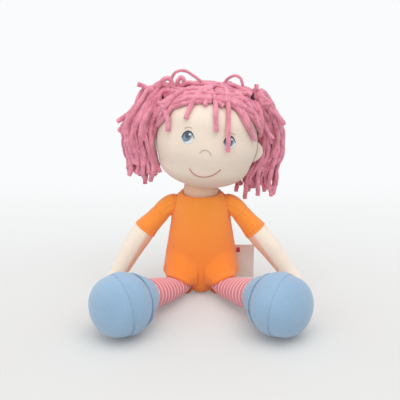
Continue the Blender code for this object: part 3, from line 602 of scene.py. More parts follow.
def new_material(name, roughness=0.9, sheen=0.35):
    """A material with its Principled shader, its tree and its object coordinates."""
    made = bpy.data.materials.new(name)
    made.use_nodes = True
    tree = made.node_tree
    shader = tree.nodes["Principled BSDF"]
    shader.inputs["Roughness"].default_value = roughness
    shader.inputs["Sheen Weight"].default_value = sheen
    shader.inputs["Sheen Roughness"].default_value = 0.6
    shader.inputs["Specular IOR Level"].default_value = 0.15
    vector = tree.nodes.new("ShaderNodeTexCoord").outputs["Object"]
    return made, tree, shader, vector


def group_in(tree, group, vector, detail):
    node = tree.nodes.new("ShaderNodeGroup")
    node.node_tree = group
    tree.links.new(vector, node.inputs["Vector"])
    node.inputs[1].default_value = detail
    return node


def bumped(tree, shader, height, distance, strength):
    node = tree.nodes.new("ShaderNodeBump")
    node.inputs["Distance"].default_value = distance
    node.inputs["Strength"].default_value = strength
    tree.links.new(height, node.inputs["Height"])
    tree.links.new(node.outputs["Normal"], shader.inputs["Normal"])


def darker(base, share):
    return tuple(channel * share for channel in base)


def cotton(name, base, shade=0.86, light=1.06, threads=1600.0, sheen=0.3, painted_low_shade=None):
    """Brushed cotton in a colour, with painted shade, a darker warmer colour, below a height when one is given."""
    made, tree, shader, vector = new_material(name, 0.92, sheen)
    weave = group_in(tree, shared_group("weave", build_weave_group), vector, threads)
    light_colour = tuple(min(1.0, channel * light) for channel in base)
    tinted = mix_node(tree, ramp_node(tree, weave.outputs["Tone"], 0.3, 0.7), darker(base, shade), light_colour)
    # painted shade: below a height the colour turns darker, as if less light fell there
    if painted_low_shade:
        low_shade_colour, low, high = painted_low_shade
        split = tree.nodes.new("ShaderNodeSeparateXYZ")
        tree.links.new(vector, split.inputs[0])
        tinted = mix_node(tree, ramp_node(tree, split.outputs[2], high, low), tinted, low_shade_colour)
    tree.links.new(tinted, shader.inputs["Base Color"])
    bumped(tree, shader, weave.outputs["Height"], 0.25 * MM, 0.55)
    return made


def offset_along(tree, vector, origin, direction):
    """How far a point lies from a place along a direction."""
    centred = tree.nodes.new("ShaderNodeVectorMath")
    centred.operation = "SUBTRACT"
    centred.inputs[1].default_value = origin
    tree.links.new(vector, centred.inputs[0])
    measured = tree.nodes.new("ShaderNodeVectorMath")
    measured.operation = "DOT_PRODUCT"
    measured.inputs[1].default_value = direction
    tree.links.new(centred.outputs[0], measured.inputs[0])
    return measured.outputs["Value"]


def arm_cotton(name, cloth, label):
    """Pale brushed cotton with painted shade, a darker warmer colour, on the panel inside the forearm, and pale piping
    at its seam.
    """
    made, tree, shader, vector = new_material(name, 0.92, 0.2)
    weave = group_in(tree, shared_group("weave", build_weave_group), vector, 1600.0)
    tinted = mix_node(tree, ramp_node(tree, weave.outputs["Tone"], 0.3, 0.7), darker(cloth.arm, 0.95), cloth.arm)
    _, hem, _, _, _, lower = arm_places(label, SIDES[label])
    reach = offset_along(tree, vector, hem, panel_way(label, lower) - lower * PANEL_TAPER)
    edge = PANEL_START
    # painted shade on the inner panel, from its seam onward
    tinted = mix_node(tree, ramp_node(tree, reach, edge, edge + 0.5 * MM), tinted, cloth.arm_panel_painted_shade)
    piping = math_node(
        tree, "SUBTRACT", ramp_node(tree, reach, edge - 0.9 * MM, edge - 0.5 * MM), ramp_node(tree, reach, edge, edge + 0.4 * MM)
    )
    tinted = mix_node(tree, piping, tinted, (0.95, 0.88, 0.78))
    tree.links.new(tinted, shader.inputs["Base Color"])
    bumped(tree, shader, weave.outputs["Height"], 0.25 * MM, 0.5)
    return made


def striped_knit(name, cloth, label):
    """Fine knit whose thin pale rings lie square to the leg."""
    made, tree, shader, vector = new_material(name, 0.9, 0.35)
    weave = group_in(tree, shared_group("weave", build_weave_group), vector, 2600.0)
    waver = math_node(tree, "MULTIPLY", noise_node(tree, vector, 90.0, 1.0), 0.0007)
    run = math_node(tree, "ADD", offset_along(tree, vector, HIP[label], LEG_WAY[label]), waver)
    share = math_node(tree, "FRACT", math_node(tree, "DIVIDE", run, cloth.stripe_pitch))
    ring = math_node(tree, "SUBTRACT", ramp_node(tree, share, 0.33, 0.46), ramp_node(tree, share, 0.56, 0.69))
    ground = mix_node(tree, ramp_node(tree, weave.outputs["Tone"], 0.3, 0.7), darker(cloth.rose, 0.88), cloth.rose)
    tree.links.new(mix_node(tree, ring, ground, cloth.pale_ring), shader.inputs["Base Color"])
    rib = math_node(tree, "MULTIPLY", math_node(tree, "SINE", math_node(tree, "MULTIPLY", run, 9000.0)), 0.25)
    bumped(tree, shader, math_node(tree, "ADD", weave.outputs["Height"], rib), 0.25 * MM, 0.6)
    return made


def chenille(name, hair):
    made, tree, shader, vector = new_material(name, 0.95, 0.55)
    pile = group_in(tree, shared_group("pile", build_pile_group), vector, 1500.0)
    # painted shade: the yarn turns to its darker copy in the pile's gaps, and in broad random patches
    toned = mix_node(tree, ramp_node(tree, pile.outputs["Tone"], 0.42, 0.98), hair.yarn, hair.yarn_painted_shade)
    tree.links.new(toned, shader.inputs["Base Color"])
    bumped(tree, shader, pile.outputs["Height"], 0.5 * MM, 0.8)
    return made


def thread(name, base, roughness=0.55):
    """Twisted sewing or embroidery thread."""
    made, tree, shader, vector = new_material(name, roughness, 0.1)
    fibre = noise_node(tree, vector, 2800.0, 2.0)
    tinted = mix_node(tree, fibre, darker(base, 0.78), tuple(min(1.0, channel * 1.12) for channel in base))
    tree.links.new(tinted, shader.inputs["Base Color"])
    bumped(tree, shader, fibre, 0.1 * MM, 0.5)
    return made


MATERIALS = {}


def finish(made, material, body, replaces=()):
    """Give a finished piece its material, the body it rides on and the CAD nodes it stands for."""
    made.data.materials.clear()
    made.data.materials.append(MATERIALS[material])
    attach(made, body)
    if replaces:
        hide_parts(*replaces)
    return made


def make_materials(context):
    cloth, face, hair = context.scene.doll_cloth, context.scene.doll_face, context.scene.doll_hair
    MATERIALS.update(
        # painted shade: the body suit darker low down and lighter at its top, as if lit from above
        orange_cloth=cotton("orange_cotton", tuple(cloth.orange), 0.93, 1.03, painted_low_shade=((0.95, 0.25, 0.032), 0.015, 0.095)),
        # painted shadow: the skin darker and warmer low on the head, under the chin
        skin_cloth=cotton("skin_cotton", tuple(cloth.skin), 0.95, 1.03, sheen=0.2, painted_low_shade=((0.72, 0.52, 0.40), 0.104, 0.128)),
        arm_left=arm_cotton("arm_cotton_left", cloth, "left"),
        arm_right=arm_cotton("arm_cotton_right", cloth, "right"),
        neck_cloth=cotton("neck_cotton", tuple(cloth.neck), 0.93, 1.05, sheen=0.2),
        blue_cloth=cotton("blue_cotton", tuple(cloth.blue), 0.93, 1.04, sheen=0.4),
        knit_left=striped_knit("striped_knit_left", cloth, "left"),
        knit_right=striped_knit("striped_knit_right", cloth, "right"),
        pink_yarn=chenille("pink_chenille", hair),
        dark_elastic=thread("dark_elastic", tuple(hair.elastic), 0.6),
        lash_thread=thread("lash_thread", tuple(face.lash)),
        brow_thread=thread("brow_thread", tuple(face.brow)),
        nose_thread=thread("nose_thread", tuple(face.nose)),
        face_thread=thread("mouth_thread", tuple(face.mouth)),
        orange_thread=thread("orange_sewing_thread", (0.72, 0.17, 0.08)),
        blue_thread=thread("blue_sewing_thread", (0.19, 0.33, 0.50)),
        skin_thread=thread("skin_sewing_thread", (0.66, 0.42, 0.33)),
        satin_label=satin("label_satin", tuple(cloth.satin)),
        red_tape=thread("red_tape", (0.50, 0.035, 0.04), 0.6),
        eye_thread=eye_embroidery("eye_embroidery", face),
    )


def satin(name, base):
    """Satin ribbon with fine cross threads and a soft gloss."""
    made, tree, shader, vector = new_material(name, 0.42, 0.2)
    split = tree.nodes.new("ShaderNodeSeparateXYZ")
    tree.links.new(vector, split.inputs[0])
    rib = math_node(tree, "SINE", math_node(tree, "MULTIPLY", split.outputs[2], 14000.0))
    fibre = noise_node(tree, vector, 900.0, 2.0)
    tinted = mix_node(tree, fibre, darker(base, 0.92), base)
    tree.links.new(tinted, shader.inputs["Base Color"])
    bumped(tree, shader, math_node(tree, "ADD", math_node(tree, "MULTIPLY", rib, 0.3), fibre), 0.08 * MM, 0.5)
    return made


def eye_embroidery(name, face):
    """Satin stitch in discs, from the eye's own UV map, whose middle is at one half."""
    made, tree, shader, vector = new_material(name, 0.5, 0.1)
    plane = tree.nodes.new("ShaderNodeUVMap")
    plane.uv_map = "stitch_plane"

    def disc(right, up, radius, soft=0.05):
        """A mask that is 1 inside a disc, in eye radii from the eye's middle."""
        gap = tree.nodes.new("ShaderNodeVectorMath")
        gap.operation = "DISTANCE"
        gap.inputs[1].default_value = (0.5 + right / 2, 0.5 + up / 2, 0)
        tree.links.new(plane.outputs[0], gap.inputs[0])
        return ramp_node(tree, gap.outputs["Value"], radius / 2 + soft / 2, radius / 2 - soft / 2)

    shown = mix_node(tree, disc(-0.06, 0.04, 0.90), (0.86, 0.90, 0.92), face.eye_rim)
    shown = mix_node(tree, disc(0.20, -0.34, 0.56, 0.2), shown, (0.88, 0.91, 0.93))
    shown = mix_node(tree, disc(-0.16, 0.16, 0.80), shown, face.iris)
    shown = mix_node(tree, disc(-0.34, 0.02, 0.34, 0.3), shown, (0.26, 0.35, 0.45))
    shown = mix_node(tree, disc(-0.04, 0.30, 0.44, 0.12), shown, face.pupil)
    shown = mix_node(tree, disc(0.34, 0.52, 0.17), shown, (0.92, 0.94, 0.96))
    fibre = noise_node(tree, vector, 1800.0, 2.0)
    toned = mix_node(tree, math_node(tree, "MULTIPLY", fibre, 0.30), shown, (0.30, 0.34, 0.40))
    tree.links.new(toned, shader.inputs["Base Color"])
    split = tree.nodes.new("ShaderNodeSeparateXYZ")
    tree.links.new(vector, split.inputs[0])
    rows = math_node(tree, "SINE", math_node(tree, "MULTIPLY", split.outputs[0], 16000.0))
    bumped(tree, shader, math_node(tree, "ADD", rows, fibre), 0.08 * MM, 0.4)
    return made


# Geometry Nodes: strands and stitches


def geometry_tree(name, inputs):
    tree = bpy.data.node_groups.new(name, "GeometryNodeTree")
    tree.interface.new_socket(name="Geometry", in_out="INPUT", socket_type="NodeSocketGeometry")
    for label, kind, value in inputs:
        socket = tree.interface.new_socket(name=label, in_out="INPUT", socket_type=kind)
        if value is not None:
            socket.default_value = value
    tree.interface.new_socket(name="Geometry", in_out="OUTPUT", socket_type="NodeSocketGeometry")
    return tree, tree.nodes.new("NodeGroupInput"), tree.nodes.new("NodeGroupOutput")


def node(tree, kind, **settings):
    made = tree.nodes.new(kind)
    for key, value in settings.items():
        setattr(made, key, value)
    return made


def finished_tree(tree, out, geometry, material):
    """End a tree in Realize Instances and Set Material."""
    real = tree.nodes.new("GeometryNodeRealizeInstances")
    dressed = tree.nodes.new("GeometryNodeSetMaterial")
    tree.links.new(geometry, real.inputs[0])
    tree.links.new(real.outputs[0], dressed.inputs["Geometry"])
    tree.links.new(material, dressed.inputs["Material"])
    tree.links.new(dressed.outputs[0], out.inputs[0])


def build_strand_tree():
    """Chenille strands along curves: round, a little uneven in thickness, with clumps of pile."""
    tree, given, out = geometry_tree(
        "chenille_strands",
        [
            ("Strand radius", "NodeSocketFloat", 2.0 * MM),
            ("Segment", "NodeSocketFloat", 1.2 * MM),
            ("Fuzz", "NodeSocketFloat", 0.4 * MM),
            ("Sides", "NodeSocketInt", 9),
            ("Material", "NodeSocketMaterial", None),
        ],
    )
    link = tree.links.new
    even = node(tree, "GeometryNodeResampleCurve", mode="LENGTH")
    link(given.outputs["Geometry"], even.inputs["Curve"])
    link(given.outputs["Segment"], even.inputs["Length"])
    lumps = node(tree, "ShaderNodeTexNoise")
    lumps.inputs["Scale"].default_value = 170.0
    size = node(tree, "ShaderNodeMapRange")
    size.inputs["To Min"].default_value = 0.80
    size.inputs["To Max"].default_value = 1.18
    link(lumps.outputs["Fac"], size.inputs["Value"])
    swell = tree.nodes.new("GeometryNodeSetCurveRadius")
    link(even.outputs[0], swell.inputs["Curve"])
    link(size.outputs["Result"], swell.inputs["Radius"])
    circle = tree.nodes.new("GeometryNodeCurvePrimitiveCircle")
    link(given.outputs["Sides"], circle.inputs["Resolution"])
    link(given.outputs["Strand radius"], circle.inputs["Radius"])
    tube = tree.nodes.new("GeometryNodeCurveToMesh")
    tube.inputs["Fill Caps"].default_value = True
    link(swell.outputs[0], tube.inputs["Curve"])
    link(circle.outputs["Curve"], tube.inputs["Profile Curve"])
    if "Scale" in tube.inputs:
        link(size.outputs["Result"], tube.inputs["Scale"])
    pile = node(tree, "ShaderNodeTexNoise")
    pile.inputs["Scale"].default_value = 620.0
    pile.inputs["Detail"].default_value = 1.0
    centred = node(tree, "ShaderNodeMath", operation="SUBTRACT")
    centred.inputs[1].default_value = 0.5
    link(pile.outputs["Fac"], centred.inputs[0])
    doubled = node(tree, "ShaderNodeMath", operation="MULTIPLY")
    doubled.inputs[1].default_value = 2.6
    link(centred.outputs[0], doubled.inputs[0])
    amount = node(tree, "ShaderNodeMath", operation="MULTIPLY")
    link(doubled.outputs[0], amount.inputs[0])
    link(given.outputs["Fuzz"], amount.inputs[1])
    outward = tree.nodes.new("GeometryNodeInputNormal")
    push = node(tree, "ShaderNodeVectorMath", operation="SCALE")
    link(outward.outputs[0], push.inputs[0])
    link(amount.outputs[0], push.inputs["Scale"])
    moved = tree.nodes.new("GeometryNodeSetPosition")
    link(tube.outputs[0], moved.inputs["Geometry"])
    link(push.outputs[0], moved.inputs["Offset"])
    soft = tree.nodes.new("GeometryNodeSetShadeSmooth")
    link(moved.outputs[0], soft.inputs[0])
    finished_tree(tree, out, soft.outputs[0], given.outputs["Material"])
    return tree


def build_stitch_tree():
    """A row of short stitches along curves, each a rounded length of thread."""
    tree, given, out = geometry_tree(
        "sewn_stitches",
        [
            ("Pitch", "NodeSocketFloat", 2.0 * MM),
            ("Thread radius", "NodeSocketFloat", 0.25 * MM),
            ("Thread length", "NodeSocketFloat", 1.6 * MM),
            ("Slant", "NodeSocketFloat", 0.0),
            ("Material", "NodeSocketMaterial", None),
        ],
    )
    link = tree.links.new
    spots = node(tree, "GeometryNodeCurveToPoints", mode="LENGTH")
    link(given.outputs["Geometry"], spots.inputs["Curve"])
    link(given.outputs["Pitch"], spots.inputs["Length"])
    stitch = tree.nodes.new("GeometryNodeMeshUVSphere")
    stitch.inputs["Segments"].default_value = 8
    stitch.inputs["Rings"].default_value = 6
    stitch.inputs["Radius"].default_value = 1.0
    half = node(tree, "ShaderNodeMath", operation="MULTIPLY")
    half.inputs[1].default_value = 0.5
    link(given.outputs["Thread length"], half.inputs[0])
    size = tree.nodes.new("ShaderNodeCombineXYZ")
    link(given.outputs["Thread radius"], size.inputs[0])
    link(given.outputs["Thread radius"], size.inputs[1])
    link(half.outputs[0], size.inputs[2])
    laid = node(tree, "FunctionNodeAlignRotationToVector", axis="Z")
    link(spots.outputs["Tangent"], laid.inputs["Vector"])
    turned_by = tree.nodes.new("FunctionNodeRotateRotation")
    turned_by.rotation_space = "LOCAL"
    link(laid.outputs[0], turned_by.inputs[0])
    slant = tree.nodes.new("ShaderNodeCombineXYZ")
    link(given.outputs["Slant"], slant.inputs[0])
    to_turn = tree.nodes.new("FunctionNodeEulerToRotation")
    link(slant.outputs[0], to_turn.inputs[0])
    link(to_turn.outputs[0], turned_by.inputs[1])
    copies = tree.nodes.new("GeometryNodeInstanceOnPoints")
    link(spots.outputs["Points"], copies.inputs["Points"])
    link(stitch.outputs["Mesh"], copies.inputs["Instance"])
    link(turned_by.outputs[0], copies.inputs["Rotation"])
    link(size.outputs[0], copies.inputs["Scale"])
    soft = tree.nodes.new("GeometryNodeSetShadeSmooth")
    link(copies.outputs[0], soft.inputs[0])
    finished_tree(tree, out, soft.outputs[0], given.outputs["Material"])
    return tree


def along_curves(name, paths, tree, values, closed=False):
    """Run a tree on smooth paths and keep the result as a plain mesh."""
    curve = bpy.data.curves.new(f"{name}_paths", "CURVE")
    curve.dimensions = "3D"
    for path in paths:
        spline = curve.splines.new("POLY")
        spline.points.add(len(path) - 1)
        spline.use_cyclic_u = closed
        for point, place in zip(spline.points, path):
            point.co = (*place, 1)
    guide = bpy.data.objects.new(f"{name}_guide", curve)
    bpy.context.scene.collection.objects.link(guide)
    run = guide.modifiers.new("made along paths", "NODES")
    run.node_group = tree
    for item in tree.interface.items_tree:
        if item.in_out == "INPUT" and item.name in values:
            run[item.identifier] = values[item.name]
    bpy.context.view_layer.update()
    depsgraph = bpy.context.evaluated_depsgraph_get()
    mesh = bpy.data.meshes.new_from_object(guide.evaluated_get(depsgraph))
    mesh.name = name
    bpy.data.objects.remove(guide)
    return place_in(name, mesh)


TREES = {}


def strands(name, paths, hair, radius=None, fuzz=None):
    if "strand" not in TREES:
        TREES["strand"] = build_strand_tree()
    values = {
        "Strand radius": radius or hair.strand_radius,
        "Segment": hair.segment,
        "Fuzz": hair.fuzz if fuzz is None else fuzz,
        "Sides": 9,
        "Material": MATERIALS["pink_yarn"],
    }
    return along_curves(name, paths, TREES["strand"], values)


def stitches(name, paths, material, pitch, radius, length_share=0.8, slant=0.0, closed=False):
    if "stitch" not in TREES:
        TREES["stitch"] = build_stitch_tree()
    values = {
        "Pitch": pitch,
        "Thread radius": radius,
        "Thread length": pitch * length_share,
        "Slant": slant,
        "Material": MATERIALS[material],
    }
    return along_curves(name, paths, TREES["stitch"], values, closed)


def surface_of(made):
    """A tree for finding places on a piece."""
    return BVHTree.FromPolygons([v.co for v in made.data.vertices], [p.vertices for p in made.data.polygons])


def on_surface(tree, point, lift=0.0):
    place, normal, _, _ = tree.find_nearest(point)
    return place + normal * lift


def picture_ray(across, down):
    """The direction from the camera through a pixel of the photograph."""
    facing = (CAMERA_AIM - CAMERA_PLACE).normalized()
    right = facing.cross(Vector((0, 0, 1))).normalized()
    upward = right.cross(facing)
    scale = PICTURE_SIZE * CAMERA_LENS / 36
    offset = right * (across - PICTURE_MIDDLE[0]) / scale - upward * (down - PICTURE_MIDDLE[1]) / scale
    return (facing + offset).normalized()


def seen_on(tree, across, down, lift, depth=0.0):
    """Where a pixel's ray meets a surface, raised by a lift, or else the upright plane at a depth."""
    way = picture_ray(across, down)
    hit, normal, _, _ = tree.ray_cast(CAMERA_PLACE, way)
    if hit is not None:
        return hit + normal * lift
    return CAMERA_PLACE + way * ((depth - CAMERA_PLACE.y) / way.y)


# Along a leg in millimetres from its hip: half width, half height, and how far it sags inward and down
LEG_FORM = ((0, 13.0, 13.0, 0, 0), (17.9, 12.6, 10.6, 2.2, 3.8), (38.7, 13.6, 12.7, 1.6, 2.8), (59.6, 14.6, 14.6, 0, 0))


def leg_form(label, run):
    """The middle, half width and half height of a leg at a distance from its hip."""
    columns = zip(*(row[1:] for row in LEG_FORM))
    keys = [row[0] for row in LEG_FORM]
    width, height, inward, down = (between(list(zip(keys, column)), max(run / MM, 0.0)) for column in columns)
    sag = Vector((-SIDES[label] * inward * MM, 0, -down * MM))
    return HIP[label] + LEG_WAY[label] * run + sag, width * MM, height * MM


def between(table, value):
    """A smooth value from a table of rising keys."""
    for (low, first), (high, second) in zip(table, table[1:]):
        if value <= high:
            share = (value - low) / (high - low)
            return first + (second - first) * share * share * (3 - 2 * share)
    return table[-1][1]


# Body suit


ROOM_FOR_LEG = 13.5 * MM
HIP_ROOM = 15.6 * MM
SHOULDER_ROOM = 8.7 * MM
NECK_ROOM = 16.7 * MM


def torso_stations():
    """The body swells at the hips and belly and narrows to a point between the legs."""
    levels = (0.012, 0.085, 0.21, 0.36, 0.54, 0.72, 0.87, 0.945, 1.0)
    widths = (12.95, 21.7, 34.5, 34.3, 31.5, 28.6, 27.2, 24.6, 20.6)
    depths = (13.6, 18.9, 22.0, 22.0, 21.6, 20.5, 19.4, 18.7, 18.7)
    forward = (4.0, 3.4, 1.6, 0.4, 0, 0, 0, 0, 0)
    stations = [(Vector((0, -forward[0] * MM, -0.5 * MM)), 0, 0)]
    for level, width, depth, ahead in zip(levels, widths, depths, forward):
        stations.append((Vector((0, -ahead * MM, NECKLINE * level)), width * MM, depth * MM))
    return stations + [(Vector((0, 0, NECKLINE + 3 * MM)), 0, 0)]


def cylinder(name, origin, direction, radius, height, start=0.0):
    return turned(name, [(0, start), (radius, start), (radius, height), (0, height)], frame_at(origin, direction))


def torso_carvers():
    """The room for the neck, the arms and the legs in every pose, as in the CAD body."""
    carvers = [cylinder("neck_room", Vector((0, 0, 0)), Vector((0, 0, 1)), NECK_ROOM, 0.18, NECKLINE - 7 * MM)]
    for label, side in SIDES.items():
        carvers.append(ball(f"shoulder_room_{label}", SHOULDER[label], SHOULDER_ROOM))
        carvers.append(ball(f"hip_room_{label}", HIP[label], HIP_ROOM))
        carvers.append(cylinder(f"leg_down_{label}", HIP[label], Vector((0, 0, -1)), ROOM_FOR_LEG, 0.08))
        lift = Matrix.Rotation(math.radians(-10), 3, "X") @ Matrix.Rotation(math.radians(-12 * side), 3, "Z")
        carvers.append(cylinder(f"leg_up_{label}", HIP[label], lift @ LEG_WAY[label], ROOM_FOR_LEG, 0.08))
    return carvers


def suit_folds(point):
    """Small tucks below the neckline and beside the armholes, and soft wrinkles low on the belly."""
    move = 0.0
    turn = math.atan2(point.y, point.x)
    move += tucks(turn, abs(point.z - NECKLINE + 2 * MM), 34, 0.22 * MM, 3.0 * MM, 3.0)
    for label in SIDES:
        away = (point - SHOULDER[label]).length - 12 * MM
        if away < 16 * MM:
            around_arm = math.atan2(point.z - SHOULDER[label].z, point.y)
            move += tucks(around_arm, max(away, 0.0), 11, 0.55 * MM, 4.0 * MM, 7.0)
    low = max(0.0, 1 - point.z / (34 * MM))
    spread = Vector((point.x * 0.6, point.y, point.z * 1.6))
    move += 0.28 * MM * low * bump_noise(spread, 8 * MM, 4.0)
    side_seam = math.exp(-(abs(point.y) / (0.8 * MM)) ** 2) * (0.35 * MM if abs(point.x) > 20 * MM else 0.0)
    return move - side_seam + 0.18 * MM * bump_noise(point, 17 * MM, 1.0)


def make_body_suit(context):
    form = stuffed("body_suit", torso_stations(), 72, 2.6 * MM)
    pinned = lambda point: point.z < 2 * MM or point.z > 92 * MM or (abs(point.y) < 1.4 * MM and abs(point.x) > 16 * MM)
    suit = bag("body_suit", form, pinned, 0.7 * MM, 1.3 * MM, 2)
    shaped(suit, suit_folds)
    rested(suit)
    whole = surface_of(suit)
    carved(suit, torso_carvers())
    creased(suit)
    finish(suit, "orange_cloth", "torso", replaces=("torso", "torso_stuffing"))
    turns = [math.tau * k / 96 for k in range(96)]
    ring = [Vector((18.6 * MM * math.cos(a), 17.9 * MM * math.sin(a), NECKLINE + 0.4 * MM)) for a in turns]
    band = place_in("neckline_band", welt("neckline_band", ring, 0.6 * MM, 10, wobble=0.25))
    finish(band, "orange_cloth", "torso")
    for label, side in SIDES.items():
        make_web(f"armhole_gusset_{label}", SHOULDER[label], Vector((-side, 0, 0)), 7.2 * MM, 9.0 * MM, 56,
                 "orange_cloth", f"shoulder_web_{label}")
        make_web(f"hip_gusset_{label}", HIP[label], -LEG_WAY[label], 13.15 * MM, 15.3 * MM, 80,
                 "orange_cloth", f"hip_web_{label}")
        make_hip_cover(label, side)
        make_belly_flap(label, side, whole)
        make_sleeve_head(label, side)


# How far the suit reaches along a leg, by the turn round it in degrees: 0 is outward, 90 up and 180 inward
COVER_EDGE = ((0, 1.0), (45, 13.0), (70, 21.0), (93, 22.5), (123, 20.9), (140, 18.6), (158, 15.8), (176, 11.3),
              (203, 0.6), (231, -9.0), (270, -10.0), (315, -6.0), (360, 1.0))


def shell(name, rings, floor=0.25 * MM):
    """A closed band of cloth from closed rings of points that stand side by side."""
    bm = bmesh.new()
    loops = [[bm.verts.new((point.x, point.y, max(point.z, floor))) for point in ring] for ring in rings]
    count = len(loops[0])
    for first, second in zip(loops, loops[1:] + loops[:1]):
        for k in range(count):
            following = (k + 1) % count
            bm.faces.new((first[k], first[following], second[following], second[k]))
    return place_in(name, mesh_from(bm, name))


def leg_spokes(label, side):
    """Directions outward and up from a leg's own middle line."""
    way = LEG_WAY[label]
    outward = Vector((side, 0, 0))
    outward = (outward - way * outward.dot(way)).normalized()
    upward = Vector((0, 0, 1))
    return outward, (upward - way * upward.dot(way) - outward * upward.dot(outward)).normalized()


def hermite(start, end, leave, arrive, share):
    """A smooth path's point between two places that it leaves and reaches along given directions."""
    square, cube = share ** 2, share ** 3
    return (start * (2 * cube - 3 * square + 1) + leave * (cube - 2 * square + share)
            + end * (3 * square - 2 * cube) + arrive * (cube - square))


def make_belly_flap(label, side, tree):
    """The belly's cloth as it runs from the body over the root of a leg."""
    way, root = LEG_WAY[label], HIP[label]
    outward, upward = leg_spokes(label, side)
    steps, sides, thickness = 16, 80, 1.0 * MM
    rings = []
    for k in range(sides):
        turn = math.tau * k / sides
        spoke = outward * math.cos(turn) + upward * math.sin(turn)
        spread = 20.5 + 11.0 * max(0.0, math.sin(turn)) ** 1.5
        target = root + spoke * spread * MM + way * 6 * MM
        target = Vector((side * max(side * target.x, 0.3 * MM), target.y, max(target.z, 0.8 * MM)))
        start, normal, _, _ = tree.find_nearest(target)
        low = min(max((40 * MM - target.z) / (24 * MM), 0.0), 1.0)
        near = max(0.0, 1 - abs(target.x) / (9 * MM))
        start = start.lerp(Vector((target.x, start.y, start.z)), near)
        start = start - Vector((0, 4.0 * MM, 0)) * low * low * (3 - 2 * low) * near
        run = (between(COVER_EDGE, math.degrees(turn)) - 1.1) * MM
        middle, width, height = leg_form(label, run)
        end = middle + outward * math.cos(turn) * (width + 1.15 * MM) + upward * math.sin(turn) * (height + 1.15 * MM)
        gap = end - start
        leave = (gap - normal * gap.dot(normal)).normalized() * gap.length
        arrive = (way - spoke * 0.45).normalized() * gap.length * 0.8
        outer, inner = [], []
        for step in range(steps + 1):
            share = step / steps
            point = hermite(start - normal * 0.45 * MM, end, leave, arrive, share)
            away = normal.lerp(spoke, share).normalized()
            fold = 0.3 * MM * math.exp(-(1 - share) / 0.16) * noise.noise(Vector((turn * 3.6, side * 2, 7)))
            fold += 2.6 * MM * math.sin(math.pi * share) * max(0.0, math.cos(turn - 0.45)) ** 2
            outer.append(point + away * fold)
            inner.append(point - away * thickness)
        rings.append(outer + inner[::-1])
    name = f"belly_flap_{label}"
    flap = shell(name, rings)
    flap.data.materials.append(MATERIALS["orange_cloth"])
    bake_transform(flap)


def make_hip_cover(label, side):
    """The belly's cloth over the root of a leg, down to the slanting seam where the stripes begin."""
    outward, upward = leg_spokes(label, side)
    ball_radius, start, thickness, steps, sides = 15.8 * MM, -12 * MM, 1.3 * MM, 18, 80
    rings = []
    for k in range(sides):
        turn = math.tau * k / sides
        edge = between(COVER_EDGE, math.degrees(turn)) * MM
        outer, inner = [], []
        for step in range(steps + 1):
            share = step / steps
            run = start + (edge - start) * share
            middle, width, height = leg_form(label, run)
            full = math.sqrt(ball_radius ** 2 - min(run, 0) ** 2) if run < 0 else 0
            swell = (1 + math.cos(math.pi * min(run / (22 * MM), 1))) / 2
            hug = share ** 3 * (4 - 3 * share)
            fold = 0.25 * MM * math.exp(-(1 - share) / 0.12) * noise.noise(Vector((turn * 4, side, 2)))
            sizes = []
            for half in (width, height):
                wide = full or half + (ball_radius - half) * swell
                sizes.append(wide + (half + 0.5 * MM - wide) * hug + fold)
            for line, less in ((outer, 0), (inner, thickness * (1 - 0.5 * share))):
                line.append(middle + outward * math.cos(turn) * (sizes[0] - less) + upward * math.sin(turn) * (sizes[1] - less))
        rings.append(outer + inner[::-1])
    name = f"hip_cover_{label}"
    cover = shell(name, rings)
    cover.data.materials.append(MATERIALS["orange_cloth"])
    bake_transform(cover)


def make_sleeve_head(label, side):
    """The gathered head of a sleeve, from its seam on the body to the upper arm, and that seam's stitches."""
    root, _, _, _, upper, _ = arm_places(label, side)
    start, end = Vector((side * 21.0 * MM, 0, root.z)), root + upper * 12 * MM
    aside = Vector((0, 1, 0))
    outer_rise = (Vector((side, 0, 0)).cross(aside) * side).normalized()
    limb_aside = (aside - upper * aside.dot(upper)).normalized()
    limb_rise = (upper.cross(limb_aside) * side).normalized()
    rings, seam = [], []
    steps, sides = 18, 64
    for k in range(sides):
        turn = math.tau * k / sides
        flat = aside * math.cos(turn) + outer_rise * math.sin(turn)
        spoke = limb_aside * math.cos(turn) + limb_rise * math.sin(turn)
        first, last = start + flat * 7.4 * MM, end + spoke * 8.45 * MM
        reach = (last - first).length
        outer, inner = [], []
        for step in range(steps + 1):
            share = step / steps
            point = hermite(first, last, Vector((side, 0, 0)) * reach + flat * reach * 0.35, upper * reach * 0.9, share)
            away = flat.lerp(spoke, share).normalized()
            pleat = 0.42 * MM * math.sin(math.pi * share) * math.cos(9 * turn + 1.4 * noise.noise(Vector((turn * 2, side, 3))))
            outer.append(point + away * pleat)
            inner.append(point - away * 1.0 * MM)
        seam.append(outer[3] + flat * 0.05 * MM)
        rings.append(outer + inner[::-1])
    head = shell(f"sleeve_head_{label}", rings)
    head.data.materials.append(MATERIALS["orange_cloth"])
    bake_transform(head)
    row = stitches(f"shoulder_stitches_{label}", [seam], "orange_thread", 1.9 * MM, 0.2 * MM, 0.8, closed=True)
    finish(row, "orange_thread", f"shoulder_web_{label}")


def make_web(name, pivot, direction, inner, outer, half_angle, material, node_name):
    """A soft thick cap of slack cloth round the root of a limb, with a rolled rim."""
    steps = 12
    reach = math.radians(half_angle)
    angles = [reach * k / steps for k in range(steps + 1)]
    profile = [(outer * math.sin(a), outer * math.cos(a)) for a in angles]
    middle, half = (inner + outer) / 2, (outer - inner) / 2
    for k in range(1, 6):
        roll = math.pi * k / 6
        out = middle + half * math.cos(roll)
        swing = reach + half * math.sin(roll) / middle
        profile.append((out * math.sin(swing), out * math.cos(swing)))
    profile += [(inner * math.sin(a), inner * math.cos(a)) for a in reversed(angles)]
    made = place_in(name, turned(name, profile, frame_at(pivot, direction), 64))
    finish(made, material, node_name, replaces=(node_name,))
    return made


# Neck and head


